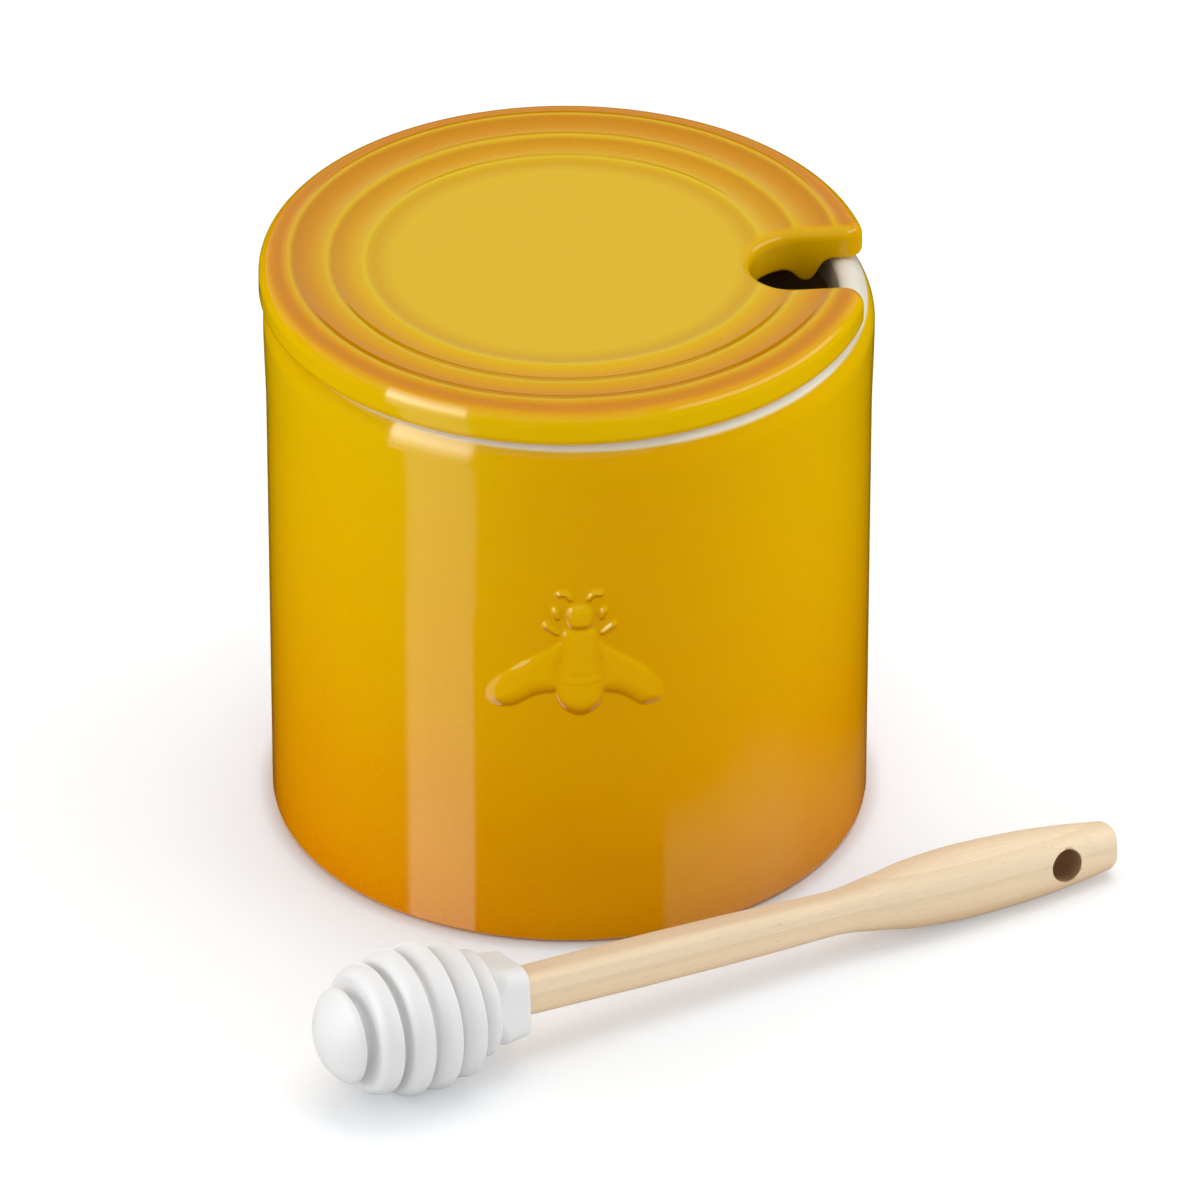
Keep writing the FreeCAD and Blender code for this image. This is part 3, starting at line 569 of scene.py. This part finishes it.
# Shares of the way between two sections, and of the change in size there
TO_GRIP, TO_TAIL = ((0.33, 0.36), (0.62, 0.80)), ((0.42, 0.16), (0.80, 0.62))
TAIL_ROUND, DIPPER_LENGTH, LEAST_CORNER = 2.4, 149.0, 0.3
CORNER_STEPS, FLAT_STEPS = 10, 7
# Insets of the tenon's end, and the depths where they are
TENON_END = ((1.9, 0.0), (0.5, 0.0), (0.15, 0.15), (0.0, 0.5))
# Depths of the neck's start behind the head, and how much smaller its sides are there
NECK_START = ((0.0, 0.5), (0.08, 0.12), (0.3, 0.0))
HOLE_AT, HOLE_RADIUS, HOLE_SIDES = 137.9, 2.8, 56
# Half of the drill that cuts the hole: radius, distance from the handle's middle
DRILL = ((HOLE_RADIUS, 4.0), (2.95, 4.45), (3.25, 4.9), (6.3, 9.0))


def handle_sections():
    """Round-cornered sections along the handle: place, thickness, height, corner."""
    neck, waist, grip, tail = (np.array(section) for section in (NECK, WAIST, GRIP, TAIL))
    named = [neck]
    for step in range(1, NECK_STEPS):
        way = step / NECK_STEPS
        section = neck + (waist - neck) * way ** 3
        section *= 1 + NECK_SWELL * way * (1 - way)
        section[0] = neck[0] + (waist[0] - neck[0]) * way
        named.append(section)
    named.append(waist)
    for first, second, shares in ((waist, grip, TO_GRIP), (grip, tail, TO_TAIL)):
        for way, growth in shares:
            section = first + (second - first) * growth
            section[0] = first[0] + (second[0] - first[0]) * way
            named.append(section)
        named.append(second)
    named = np.array(named)
    places = np.concatenate([np.linspace(NECK[0], WAIST[0], 60), np.linspace(WAIST[0], TAIL[0], 90)[1:]])
    sizes = [curve_through(named[:, 0], named[:, k], places) for k in (1, 2, 3)]
    return list(zip(places, *sizes))


def section_loop(thick, tall, corner):
    """Points around a round-cornered rectangle, the same number in every section."""
    a, b = thick / 2 - corner, tall / 2 - corner
    arcs, out = [], []
    for quarter, (sy, sz) in enumerate(((1, 1), (-1, 1), (-1, -1), (1, -1))):
        turn = quarter * math.pi / 2 + np.linspace(0, math.pi / 2, CORNER_STEPS + 1)
        arcs.append(np.column_stack([sy * a + corner * np.cos(turn), sz * b + corner * np.sin(turn)]))
    way = np.arange(1, FLAT_STEPS)[:, None] / FLAT_STEPS
    for arc, after in zip(arcs, arcs[1:] + arcs[:1]):
        out += [arc, arc[-1] + (after[0] - arc[-1]) * way]
    return np.concatenate(out)


def make_handle():
    sections = []
    thick, tall, corner, length = TENON
    start = HEAD_LENGTH - length
    for inset, depth in TENON_END:
        sections.append((start + depth, thick - 2 * inset, tall - 2 * inset,
                         max(corner - inset, LEAST_CORNER)))
    sections += [(start + length * share, thick, tall, corner) for share in (0.3, 0.6, 0.9)]
    sections.append((HEAD_LENGTH, thick, tall, corner))
    body = handle_sections()
    _, thick, tall, corner = body[0]
    for depth, less in NECK_START:
        sections.append((HEAD_LENGTH + depth, thick - less, tall - less, corner - less / 2))
    sections += body[1:]
    for turn in np.radians(np.linspace(0, 90, 12))[1:]:
        inset = TAIL_ROUND * (1 - math.cos(turn))
        sections.append((DIPPER_LENGTH - TAIL_ROUND * (1 - math.sin(turn)), TAIL[1] - 2 * inset,
                         TAIL[2] - 2 * inset, max(TAIL[3] - inset, LEAST_CORNER)))
    rows = []
    for x, thick, tall, corner in sections:
        loop = section_loop(thick, tall, corner)
        rows.append(np.column_stack([np.full(len(loop), x), loop]))
    wood = make_object("dipper_wood_handle", np.concatenate(rows), tube_faces(len(rows), len(rows[0])))
    drill = [(radius, -away) for radius, away in reversed(DRILL)] + list(DRILL)
    points = ring_points(drill, full_turn(HOLE_SIDES))[:, (1, 2, 0)] + (HOLE_AT, 0.0, 0.0)
    cutter = make_object("hole_cutter", points, tube_faces(len(drill), HOLE_SIDES))
    cut = wood.modifiers.new("hanging_hole", "BOOLEAN")
    cut.operation, cut.solver, cut.object = "DIFFERENCE", "EXACT", cutter
    view = bpy.context.evaluated_depsgraph_get()
    drilled = bpy.data.meshes.new_from_object(wood.evaluated_get(view))
    local = np.array([vertex.co for vertex in drilled.vertices]) / MM
    drilled_faces = [tuple(polygon.vertices) for polygon in drilled.polygons]
    bpy.data.objects.remove(wood)
    bpy.data.objects.remove(cutter)
    reach = np.hypot(local[:, 0] - HOLE_AT, local[:, 2])
    fields = {"along": local, "hole": (reach < HOLE_RADIUS + 0.02).astype(float)}
    return make_object("dipper_wood_handle", lay(local), drilled_faces, fields, sharp=38)


# Materials

class Nodes:
    """A material's node tree, with short ways to add and join nodes."""

    def __init__(self, name):
        self.material = bpy.data.materials.new(name)
        self.material.use_nodes = True
        self.tree = self.material.node_tree
        self.shader = self.tree.nodes["Principled BSDF"]

    def add(self, kind, **settings):
        node = self.tree.nodes.new(kind)
        for name, value in settings.items():
            setattr(node, name, value)
        return node

    def put(self, target, value):
        """A link or a plain value for an input."""
        if isinstance(value, bpy.types.NodeSocket):
            self.tree.links.new(value, target)
        else:
            target.default_value = (*value, 1.0) if target.type == "RGBA" else value

    def set(self, node, **values):
        """Links or plain values for a node's inputs, with _ for each space in a name."""
        for name, value in values.items():
            self.put(node.inputs[name.replace("_", " ")], value)

    def finish(self, **values):
        """The material, with links or plain values for its shader."""
        self.set(self.shader, **values)
        return self.material

    def field(self, name, output="Fac"):
        return self.add("ShaderNodeAttribute", attribute_name=name).outputs[output]

    def math(self, operation, *values):
        node = self.add("ShaderNodeMath", operation=operation)
        for target, value in zip(node.inputs, values):
            self.put(target, value)
        return node.outputs[0]

    def ramp(self, factor, stops):
        node = self.add("ShaderNodeValToRGB")
        elements = node.color_ramp.elements
        while len(elements) < len(stops):
            elements.new(0.5)
        for element, (place, colour) in zip(elements, stops):
            element.position = place
            element.color = (*colour, 1.0)
        self.put(node.inputs[0], factor)
        return node.outputs[0]

    def mix(self, factor, first, second):
        node = self.add("ShaderNodeMix", data_type="RGBA")
        for index, value in ((0, factor), (6, first), (7, second)):
            self.put(node.inputs[index], value)
        return node.outputs[2]

    def span(self, value, low, high, to_low=0.0, to_high=1.0, ease="SMOOTHSTEP"):
        node = self.add("ShaderNodeMapRange", interpolation_type=ease)
        for target, number in zip(node.inputs, (value, low, high, to_low, to_high)):
            self.put(target, number)
        return node.outputs[0]

    def noise(self, where, scale, detail=3.0, rough=0.55):
        node = self.add("ShaderNodeTexNoise")
        self.set(node, Vector=where, Scale=scale, Detail=detail, Roughness=rough)
        return node.outputs["Fac"]

    def stretch(self, where, scale, turn=(0, 0, 0)):
        node = self.add("ShaderNodeMapping")
        self.set(node, Vector=where, Scale=scale, Rotation=turn)
        return node.outputs[0]

    def bump(self, height, strength, distance, **normal):
        node = self.add("ShaderNodeBump")
        self.set(node, Height=height, Strength=strength, Distance=distance, **normal)
        return node.outputs[0]

    def parts(self, vector):
        node = self.add("ShaderNodeSeparateXYZ")
        self.put(node.inputs[0], vector)
        return node.outputs

    def place(self):
        return self.add("ShaderNodeTexCoord").outputs["Object"]


YELLOW = (0.74, 0.455, 0.0)
# Shares of the jar's height, and the glaze's colour there
WALL_COLOURS = ((0.0, (0.735, 0.25, 0.0)), (0.07, (0.745, 0.29, 0.0)), (0.26, (0.755, 0.332, 0.0)),
                (0.47, (0.76, 0.385, 0.0)), (0.70, (0.755, 0.42, 0.0)), (1.0, YELLOW))
THICK_GLAZE, RAISED_GLAZE = (0.68, 0.30, 0.0), (0.80, 0.48, 0.0)
# The bee's upper edge colour is painted light and its lower edge colour painted shade
UPPER_EDGE_PAINTED_LIGHT, LOWER_EDGE_PAINTED_SHADE = (0.80, 0.52, 0.0), (0.46, 0.165, 0.0)
# The amber is painted shade deep inside the jar, where little light reaches
CREAM, AMBER_PAINTED_SHADE = (0.74, 0.58, 0.22), (0.47, 0.30, 0.13)
WHITE_GLAZE, WHITE_GLAZE_DEEP = (0.76, 0.72, 0.63), (0.72, 0.68, 0.585)
BARE_CLAY, BARE_CLAY_DEEP = (0.70, 0.62, 0.50), (0.55, 0.47, 0.36)
# Radii on the lid, and the glaze's colour there: bright on the crests and darker in the hollows
LID_COLOURS = ((28.4, (0.68, 0.43, 0.004)), (31.3, (0.61, 0.335, 0.0)), (32.4, (0.635, 0.37, 0.0)),
               (32.8, (0.675, 0.455, 0.004)), (33.15, (0.675, 0.455, 0.004)), (33.7, (0.69, 0.395, 0.0)),
               (34.6, (0.68, 0.368, 0.0)), (36.2, (0.63, 0.305, 0.0)), (38.2, (0.56, 0.25, 0.0)),
               (38.65, (0.615, 0.31, 0.0)), (39.0, (0.66, 0.41, 0.002)), (39.35, (0.66, 0.41, 0.002)),
               (39.9, (0.66, 0.345, 0.0)), (40.8, (0.645, 0.315, 0.0)), (42.2, (0.615, 0.255, 0.0)),
               (44.4, (0.535, 0.21, 0.0)), (44.9, (0.565, 0.25, 0.0)), (45.25, (0.65, 0.375, 0.002)),
               (45.55, (0.65, 0.375, 0.002)), (46.1, (0.63, 0.275, 0.0)), (46.9, (0.57, 0.208, 0.0)),
               (48.2, (0.60, 0.222, 0.0)), (49.2, (0.69, 0.345, 0.0)), (50.1, YELLOW))
LID_COLOURS_FROM, LID_COLOURS_TO = 28.0, 51.0
NOTCH_GLAZE, UNDER_GLAZE, UNDER_GLAZE_DEEP = (0.67, 0.375, 0.0), (0.68, 0.40, 0.0), (0.62, 0.33, 0.0)
SILICONE, SILICONE_DEEP = (0.79, 0.79, 0.79), (0.765, 0.765, 0.765)
PALE_WOOD, TAN_WOOD, RING_WOOD = (0.84, 0.68, 0.475), (0.74, 0.55, 0.345), (0.66, 0.46, 0.26)
STREAK_WOOD, PORE_WOOD = (0.84, 0.69, 0.50), (0.50, 0.33, 0.19)
# The low wood colour is painted shade under the handle
LOW_WOOD_PAINTED_SHADE, HOLE_END_GRAIN_AND_SHADE = (0.70, 0.475, 0.27), (0.27, 0.135, 0.055)


def finish_glaze(m, colour, where):
    """Gloss of a fired glaze, with slow waves and a fine grain in its surface."""
    waves = m.bump(m.noise(where, 45.0, 1.0), 0.05, 0.0010)
    return m.finish(Base_Color=colour, IOR=1.4,
                    Roughness=m.span(m.noise(where, 220.0, 2.0), 0.3, 0.7, 0.055, 0.10),
                    Normal=m.bump(m.noise(where, 900.0, 2.0), 0.015, 0.0002, Normal=waves))


def pot_glaze():
    m = Nodes("pot_glaze")
    where = m.place()
    across, _, up = m.parts(where)
    fine = m.math("SUBTRACT", m.noise(where, 1500.0, 2.0, 0.6), 0.5)
    cloud = m.math("SUBTRACT", m.noise(where, 130.0, 4.0), 0.5)
    jitter = m.math("ADD", m.math("MULTIPLY", fine, 0.030), m.math("MULTIPLY", cloud, 0.016))
    level = m.math("ADD", up, jitter)
    colour = m.ramp(m.span(level, 0.0, POT_HEIGHT * MM, ease="LINEAR"), WALL_COLOURS)
    # The glaze ran thickest down the front, a little right of the middle
    away = m.math("ABSOLUTE", m.math("SUBTRACT", across, 0.010))
    colour = m.mix(m.span(away, 0.0, 0.042, 0.60, 0.0), colour, THICK_GLAZE)
    # Glaze thins where the bee stands out; its upward-facing slopes get painted light and its
    # downward-facing slopes painted shade
    colour = m.mix(m.span(m.field("raised"), 0.25, 0.9, 0.0, 0.40), colour, RAISED_GLAZE)
    lean = m.field("lean")
    colour = m.mix(m.span(lean, 0.02, 0.50, 0.0, 0.50), colour, UPPER_EDGE_PAINTED_LIGHT)
    colour = m.mix(m.span(lean, -0.04, -0.45, 0.0, 0.80), colour, LOWER_EDGE_PAINTED_SHADE)
    # A cream line, then the white glaze of the rim, and further down inside painted shade: a dark amber
    # where little light reaches into the jar
    white = m.math("ADD", m.field("white"), m.math("MULTIPLY", cloud, 0.25))
    colour = m.mix(m.span(white, 0.05, 0.55), colour, CREAM)
    inner_glaze_and_shade = m.mix(m.noise(where, 400.0), WHITE_GLAZE, WHITE_GLAZE_DEEP)
    uneven = m.math("ADD", up, m.math("MULTIPLY", cloud, 0.0007))
    inner_glaze_and_shade = m.mix(m.span(uneven, 0.0894, 0.0886), inner_glaze_and_shade, AMBER_PAINTED_SHADE)
    colour = m.mix(m.span(white, 0.4, 0.9), colour, inner_glaze_and_shade)
    bare = m.mix(m.noise(where, 1800.0), BARE_CLAY, BARE_CLAY_DEEP)
    colour = m.mix(m.span(m.field("foot"), 0.3, 0.8), colour, bare)
    return finish_glaze(m, colour, where)


def lid_glaze():
    m = Nodes("lid_glaze")
    where = m.place()
    fine = m.math("SUBTRACT", m.noise(where, 1300.0, 2.0, 0.6), 0.5)
    cloud = m.math("SUBTRACT", m.noise(where, 140.0, 4.0), 0.5)
    jitter = m.math("ADD", m.math("MULTIPLY", fine, 0.32), m.math("MULTIPLY", cloud, 0.5))
    reach = m.math("ADD", m.field("reach"), jitter)
    share = m.span(reach, LID_COLOURS_FROM, LID_COLOURS_TO, ease="LINEAR")
    stops = [((radius - LID_COLOURS_FROM) / (LID_COLOURS_TO - LID_COLOURS_FROM), colour)
             for radius, colour in LID_COLOURS]
    colour = m.ramp(share, stops)
    tint = m.span(m.math("ADD", m.field("inset"), m.math("MULTIPLY", jitter, 0.35)), 0.9, 2.3, 1.0, 0.0)
    wall = m.math("MULTIPLY", tint, m.span(m.field("notch"), 0.2, 0.9))
    colour = m.mix(wall, colour, NOTCH_GLAZE)
    below = m.mix(m.noise(where, 300.0), UNDER_GLAZE, UNDER_GLAZE_DEEP)
    colour = m.mix(m.field("under"), colour, below)
    return finish_glaze(m, colour, where)


def silicone():
    m = Nodes("white_silicone")
    where = m.place()
    return m.finish(Base_Color=m.mix(m.noise(where, 160.0), SILICONE, SILICONE_DEEP),
                    Roughness=m.span(m.noise(where, 500.0, 2.0), 0.3, 0.7, 0.46, 0.56), IOR=1.41,
                    Subsurface_Weight=0.12, Subsurface_Radius=(1.0, 0.95, 0.9), Subsurface_Scale=0.0012,
                    Normal=m.bump(m.noise(where, 2600.0, 2.0), 0.05, 0.0001))


def wood():
    m = Nodes("pale_wood")
    along = m.field("along", "Vector")
    grain = m.stretch(along, (0.010, 1.0, 1.0))
    fibre = m.noise(grain, 2.6, 4.0, 0.65)
    streak = m.noise(m.stretch(along, (0.022, 0.8, 0.8)), 0.75)
    rings = m.add("ShaderNodeTexWave", wave_type="BANDS", bands_direction="Z", wave_profile="SAW")
    m.set(rings, Vector=m.stretch(along, (0.05, 0.35, 1.0), (0.35, 0.05, 0.0)), Scale=0.085,
          Distortion=3.0, Detail=1.5, Detail_Scale=0.35)
    colour = m.mix(m.span(fibre, 0.35, 0.75, 0.0, 0.45), PALE_WOOD, TAN_WOOD)
    colour = m.mix(m.span(rings.outputs["Fac"], 0.55, 1.0, 0.0, 0.28), colour, RING_WOOD)
    colour = m.mix(m.span(streak, 0.45, 0.75, 0.0, 0.30), colour, STREAK_WOOD)
    pores = m.noise(m.stretch(along, (0.16, 2.2, 2.2)), 2.2, 1.0)
    colour = m.mix(m.span(pores, 0.66, 0.76, 0.0, 0.30), colour, PORE_WOOD)
    # Painted shade: the wood is painted a darker, warmer tan along the handle's lower side
    colour = m.mix(m.span(m.parts(along)[2], 1.5, -6.0, 0.0, 0.70), colour, LOW_WOOD_PAINTED_SHADE)
    # The hole's wall is darker end grain, with painted shade inside the hole
    colour = m.mix(m.math("MULTIPLY", m.field("hole"), 0.85), colour, HOLE_END_GRAIN_AND_SHADE)
    return m.finish(Base_Color=colour, Roughness=m.span(fibre, 0.3, 0.7, 0.50, 0.62), IOR=1.4,
                    Normal=m.bump(fibre, 0.10, 0.0003))


def dress(piece, body, node, material):
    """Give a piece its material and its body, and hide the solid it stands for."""
    piece.data.materials.append(material)
    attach(piece, body)
    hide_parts(node)


dress(make_pot(), "pot", "pot_body", pot_glaze())
dress(make_lid(), "lid", "lid", lid_glaze())
dress(make_head(), "dipper_head", "dipper_head", silicone())
dress(make_handle(), "dipper", "dipper_handle", wood())


# Camera, floor and light

CAMERA_AT, CAMERA_PITCH, CAMERA_ABOVE = (0.0050904, -2.5261135, 1.6263889), 57.8, 32.2
SENSOR, LENS, CLIP_END = 36.0, 540.0, 50.0
FLOOR_RINGS, ROUND_POINTS = (0.5, 200.0, 500.0, 1000.0, 2000.0, 4000.0, 8000.0), 96
PAPER, PAPER_DEEP, PAPER_LIGHT = (0.805, 0.82, 0.835), (0.795, 0.81, 0.825), 0.20
COOL_LIGHT, PLAIN_LIGHT = (0.93, 1.14, 1.33), (1.0, 1.0, 1.0)


def make_camera():
    camera = bpy.data.cameras.new("camera")
    camera.sensor_width, camera.lens, camera.clip_end = SENSOR, LENS, CLIP_END
    holder = bpy.data.objects.new("camera", camera)
    holder.location = CAMERA_AT
    holder.rotation_euler = (math.radians(CAMERA_PITCH), 0.0, 0.0)
    scene.collection.objects.link(holder)
    scene.camera = holder


def round_sheet(rings):
    """Points and upward faces of a sheet all round the jar's axis."""
    faces = [face[::-1] for face in strip_faces(len(rings), ROUND_POINTS)]
    return ring_points(rings, full_turn(ROUND_POINTS)), faces


def make_floor():
    floor = make_object("floor", *round_sheet([(radius, 0.0) for radius in FLOOR_RINGS]))
    m = Nodes("floor_paper")
    where = m.place()
    path = m.add("ShaderNodeLightPath")
    seen = m.math("MAXIMUM", path.outputs["Is Camera Ray"],
                  m.math("MAXIMUM", path.outputs["Is Glossy Ray"], path.outputs["Is Transmission Ray"]))
    length = m.add("ShaderNodeVectorMath", operation="LENGTH")
    m.put(length.inputs[0], where)
    away = length.outputs["Value"]
    # A little cool light near the jar balances the orange light that the jar throws on the paper
    balance = m.mix(m.span(away, 0.055, 0.105), COOL_LIGHT, PLAIN_LIGHT)
    # The paper's own light ends at the jar's foot, so the line where they touch stays dark
    lift = m.span(away, 0.0490, 0.0530, 0.0, PAPER_LIGHT)
    floor.data.materials.append(m.finish(
        Base_Color=m.mix(m.noise(where, 3.0), PAPER, PAPER_DEEP), Roughness=0.9, Specular_IOR_Level=0.0,
        Emission_Color=balance, Emission_Strength=m.math("MULTIPLY", seen, lift)))


def only_in_reflections(name, points, faces, glow):
    """A glowing or dark sheet, no lamp, that the camera and the light don't meet: a painted reflection,
    mirrored by glaze only.
    """
    piece = make_object(name, points, faces, {"glow": glow})
    m = Nodes(name)
    piece.data.materials.append(m.finish(Base_Color=(0.0, 0.0, 0.0), Specular_IOR_Level=0.0,
                                         Emission_Color=(1.0, 1.0, 1.0), Emission_Strength=m.field("glow")))
    for way in ("camera", "diffuse", "transmission", "volume_scatter", "shadow"):
        setattr(piece, "visible_" + way, False)


def sheet_faces(rows, columns):
    """Quads of an open sheet."""
    return [(i * columns + k, (i + 1) * columns + k, (i + 1) * columns + k + 1, i * columns + k + 1)
            for i in range(rows - 1) for k in range(columns - 1)]


VIEW = np.array([0.0, math.cos(math.radians(CAMERA_ABOVE)), -math.sin(math.radians(CAMERA_ABOVE))])


def mirror_way(turn, tilt):
    """The way that a surface facing a turn to the right and a tilt upwards mirrors the camera's view."""
    level = math.cos(tilt)
    facing = np.array([math.sin(turn) * level, -math.cos(turn) * level, math.sin(tilt)])
    return VIEW - 2.0 * (VIEW @ facing) * facing


def wall_glow(a, z):
    """Glow of sheets that no lamp lights, painting the wall's reflection: a tall strip on the left and a
    low patch on the right.
    """
    strip = smooth_step(-33.0, -31.4, a) * (1.0 - smooth_step(-18.8, -18.2, a))
    strip = strip * np.interp(z, (0.0, 15.0, 45.0, 82.0), (2.3, 2.4, 1.6, 1.15))
    top = curve_through((18.0, 25.0, 40.0, 55.0, 70.0), (27.0, 29.0, 41.0, 31.0, 22.0), a)
    low = np.interp(a, (25.0, 40.0), (16.0, 9.0))
    level = curve_through((18.0, 25.0, 40.0, 55.0, 70.0, 86.0), (0.68, 0.73, 0.85, 0.28, 0.09, 0.02), a)
    patch = smooth_step(18.2, 18.9, a) * level * (1.0 - smooth_step(low, top, z))
    return strip + patch


CURTAIN_RADIUS, CURTAIN_TOP, CURTAIN_OVERLAP, SEEN_TOP = 63.0, 53.0, 6.0, 103.0
# Heights above the table that keep the sheets lying on it apart
FLAG_LOW, SCREEN_LOW, CARD_LOW = 0.02, 0.04, 0.06
FLAG_TABLE = ((50.0, FLAG_LOW), (120.0, FLAG_LOW), (300.0, FLAG_LOW), (700.0, FLAG_LOW), (700.0, 250.0))
FLAG_FRONT, FLAG_FRONT_TURNS = ((700.0, 250.0), (760.0, 480.0)), (-205.0, 25.0)
# Where the lid's edge is, and how far away its softboxes are
EDGE_RADIUS, EDGE_HEIGHT, CARD_AWAY = 49.5, 98.0, 480.0
WORLD_LIGHT = 0.55
# Softboxes: name, place, width, height, radiance
PANELS = (("back_top", (0.2, 0.35, 1.65), 1.6, 1.2, 2.2), ("front_fill", (0.0, -2.4, 1.2), 1.6, 1.2, 1.0),
          ("side_left", (-1.25, -0.25, 0.35), 1.2, 0.7, 2.8),
          ("side_right", (1.25, -0.2, 0.35), 1.2, 0.7, 2.1))
PANEL_TARGET = (0.0, 0.0, 0.05)


def make_screen():
    """Glowing sheets seen only in reflections, painting what the wall mirrors: a curtain that hides the
    dipper, and the table before and beyond it.
    """
    columns = np.radians(np.linspace(-88.0, 88.0, 265))
    wall = np.column_stack([WALL_FOOT * np.sin(columns), -WALL_FOOT * np.cos(columns)])
    out = np.column_stack([np.sin(2 * columns), -np.cos(2 * columns)])
    fall = -VIEW[2] / VIEW[1]
    reach = np.sqrt(CURTAIN_RADIUS ** 2 - wall[:, 0] ** 2) + wall[:, 1]
    drop = fall * reach

    def sheet(name, heights, away):
        """Glow from each height on the wall, at the given distances from it."""
        points = [np.column_stack([wall + out * far[:, None], np.maximum(z - fall * far, SCREEN_LOW)])
                  for z, far in zip(heights, away)]
        glow = [wall_glow(np.degrees(columns), z) for z in heights]
        only_in_reflections(name, np.concatenate(points), sheet_faces(len(heights), len(columns)),
                            np.concatenate(glow))

    near = [drop * share for share in np.linspace(0.02, 1.0, 12)]
    middle = [drop + height for height in np.linspace(0.1, CURTAIN_TOP, 60)]
    low = drop + CURTAIN_TOP - CURTAIN_OVERLAP
    far = [low + (SEEN_TOP - low) * share for share in np.linspace(0.0, 1.0, 40)]
    sheet("screen_near", near, [z / fall for z in near])
    sheet("screen_curtain", middle, [reach] * len(middle))
    sheet("screen_far", far, [z / fall for z in far])


def make_flags():
    """Dark sheets seen only in reflections, that paint the table's reflection dark: one on the table with a
    low wall round it, and a higher wall in front.
    """
    points, faces = round_sheet(FLAG_TABLE)
    only_in_reflections("flag_table", points, faces, np.zeros(len(points)))
    points = ring_points(FLAG_FRONT, np.radians(np.linspace(*FLAG_FRONT_TURNS, ROUND_POINTS)))
    faces = sheet_faces(len(FLAG_FRONT), ROUND_POINTS)
    only_in_reflections("flag_front", points, faces, np.zeros(len(points)))


def edge_card(name, turns, tilts, glow):
    """A glowing sheet, no lamp, that paints a softbox's reflection on the round edges of the lid and the
    rim between two turns and two tilts.
    """
    points, strength = [], []
    turns, tilts = np.linspace(*turns, 48), np.linspace(*tilts, 40)
    for tilt in tilts:
        for turn in turns:
            a, b = math.radians(turn), math.radians(tilt)
            start = np.array([EDGE_RADIUS * math.sin(a), -EDGE_RADIUS * math.cos(a), EDGE_HEIGHT])
            way = mirror_way(a, b)
            to_table = (EDGE_HEIGHT - CARD_LOW) / max(-way[2], 1e-6)
            points.append(start + min(CARD_AWAY, to_table) * way)
            strength.append(glow(turn, tilt))
    only_in_reflections(name, points, sheet_faces(len(tilts), len(turns)), strength)


def left_glow(turn, tilt):
    """Painted highlight: bright where the lid's round edge turns over, and faint on its upright side."""
    level = np.interp(tilt, (0.0, 10.0, 20.0, 28.0, 40.0, 53.0), (1.3, 1.8, 5.5, 10.5, 8.5, 3.2))
    return float(level * np.interp(turn, (-36.0, -19.0), (1.25, 0.85)))


def right_glow(turn, tilt):
    """Painted highlight: a thin line along the lid's edge that fades at both ends."""
    return float(3.2 * smooth_step(34.0, 40.0, tilt) * (1.0 - smooth_step(46.0, 53.0, tilt))
                 * smooth_step(17.0, 26.0, turn) * (1.0 - smooth_step(58.0, 68.0, turn)))


def make_world():
    world = bpy.data.worlds.new("studio")
    world.use_nodes = True
    scene.world = world
    back = world.node_tree.nodes["Background"]
    back.inputs["Color"].default_value = (1.0, 1.0, 1.0, 1.0)
    back.inputs["Strength"].default_value = WORLD_LIGHT


def panel(name, place, wide, tall, radiance):
    """A softbox: radiance 1 is as bright as white paper in plain light."""
    light = bpy.data.lights.new(name, "AREA")
    light.shape, light.size, light.size_y = "RECTANGLE", wide, tall
    light.energy = radiance * math.pi * wide * tall
    lamp = bpy.data.objects.new(name, light)
    lamp.location = place
    lamp.rotation_euler = (Vector(PANEL_TARGET) - Vector(place)).to_track_quat("-Z", "Y").to_euler()
    lamp.visible_camera = False
    lamp.visible_glossy = False
    scene.collection.objects.link(lamp)


make_camera()
make_floor()
make_flags()
make_screen()
edge_card("painted_reflection_left", (-36.0, -19.0), (1.0, 60.0), left_glow)
edge_card("painted_reflection_right", (16.0, 69.0), (33.0, 54.0), right_glow)
make_world()
for softbox in PANELS:
    panel(*softbox)
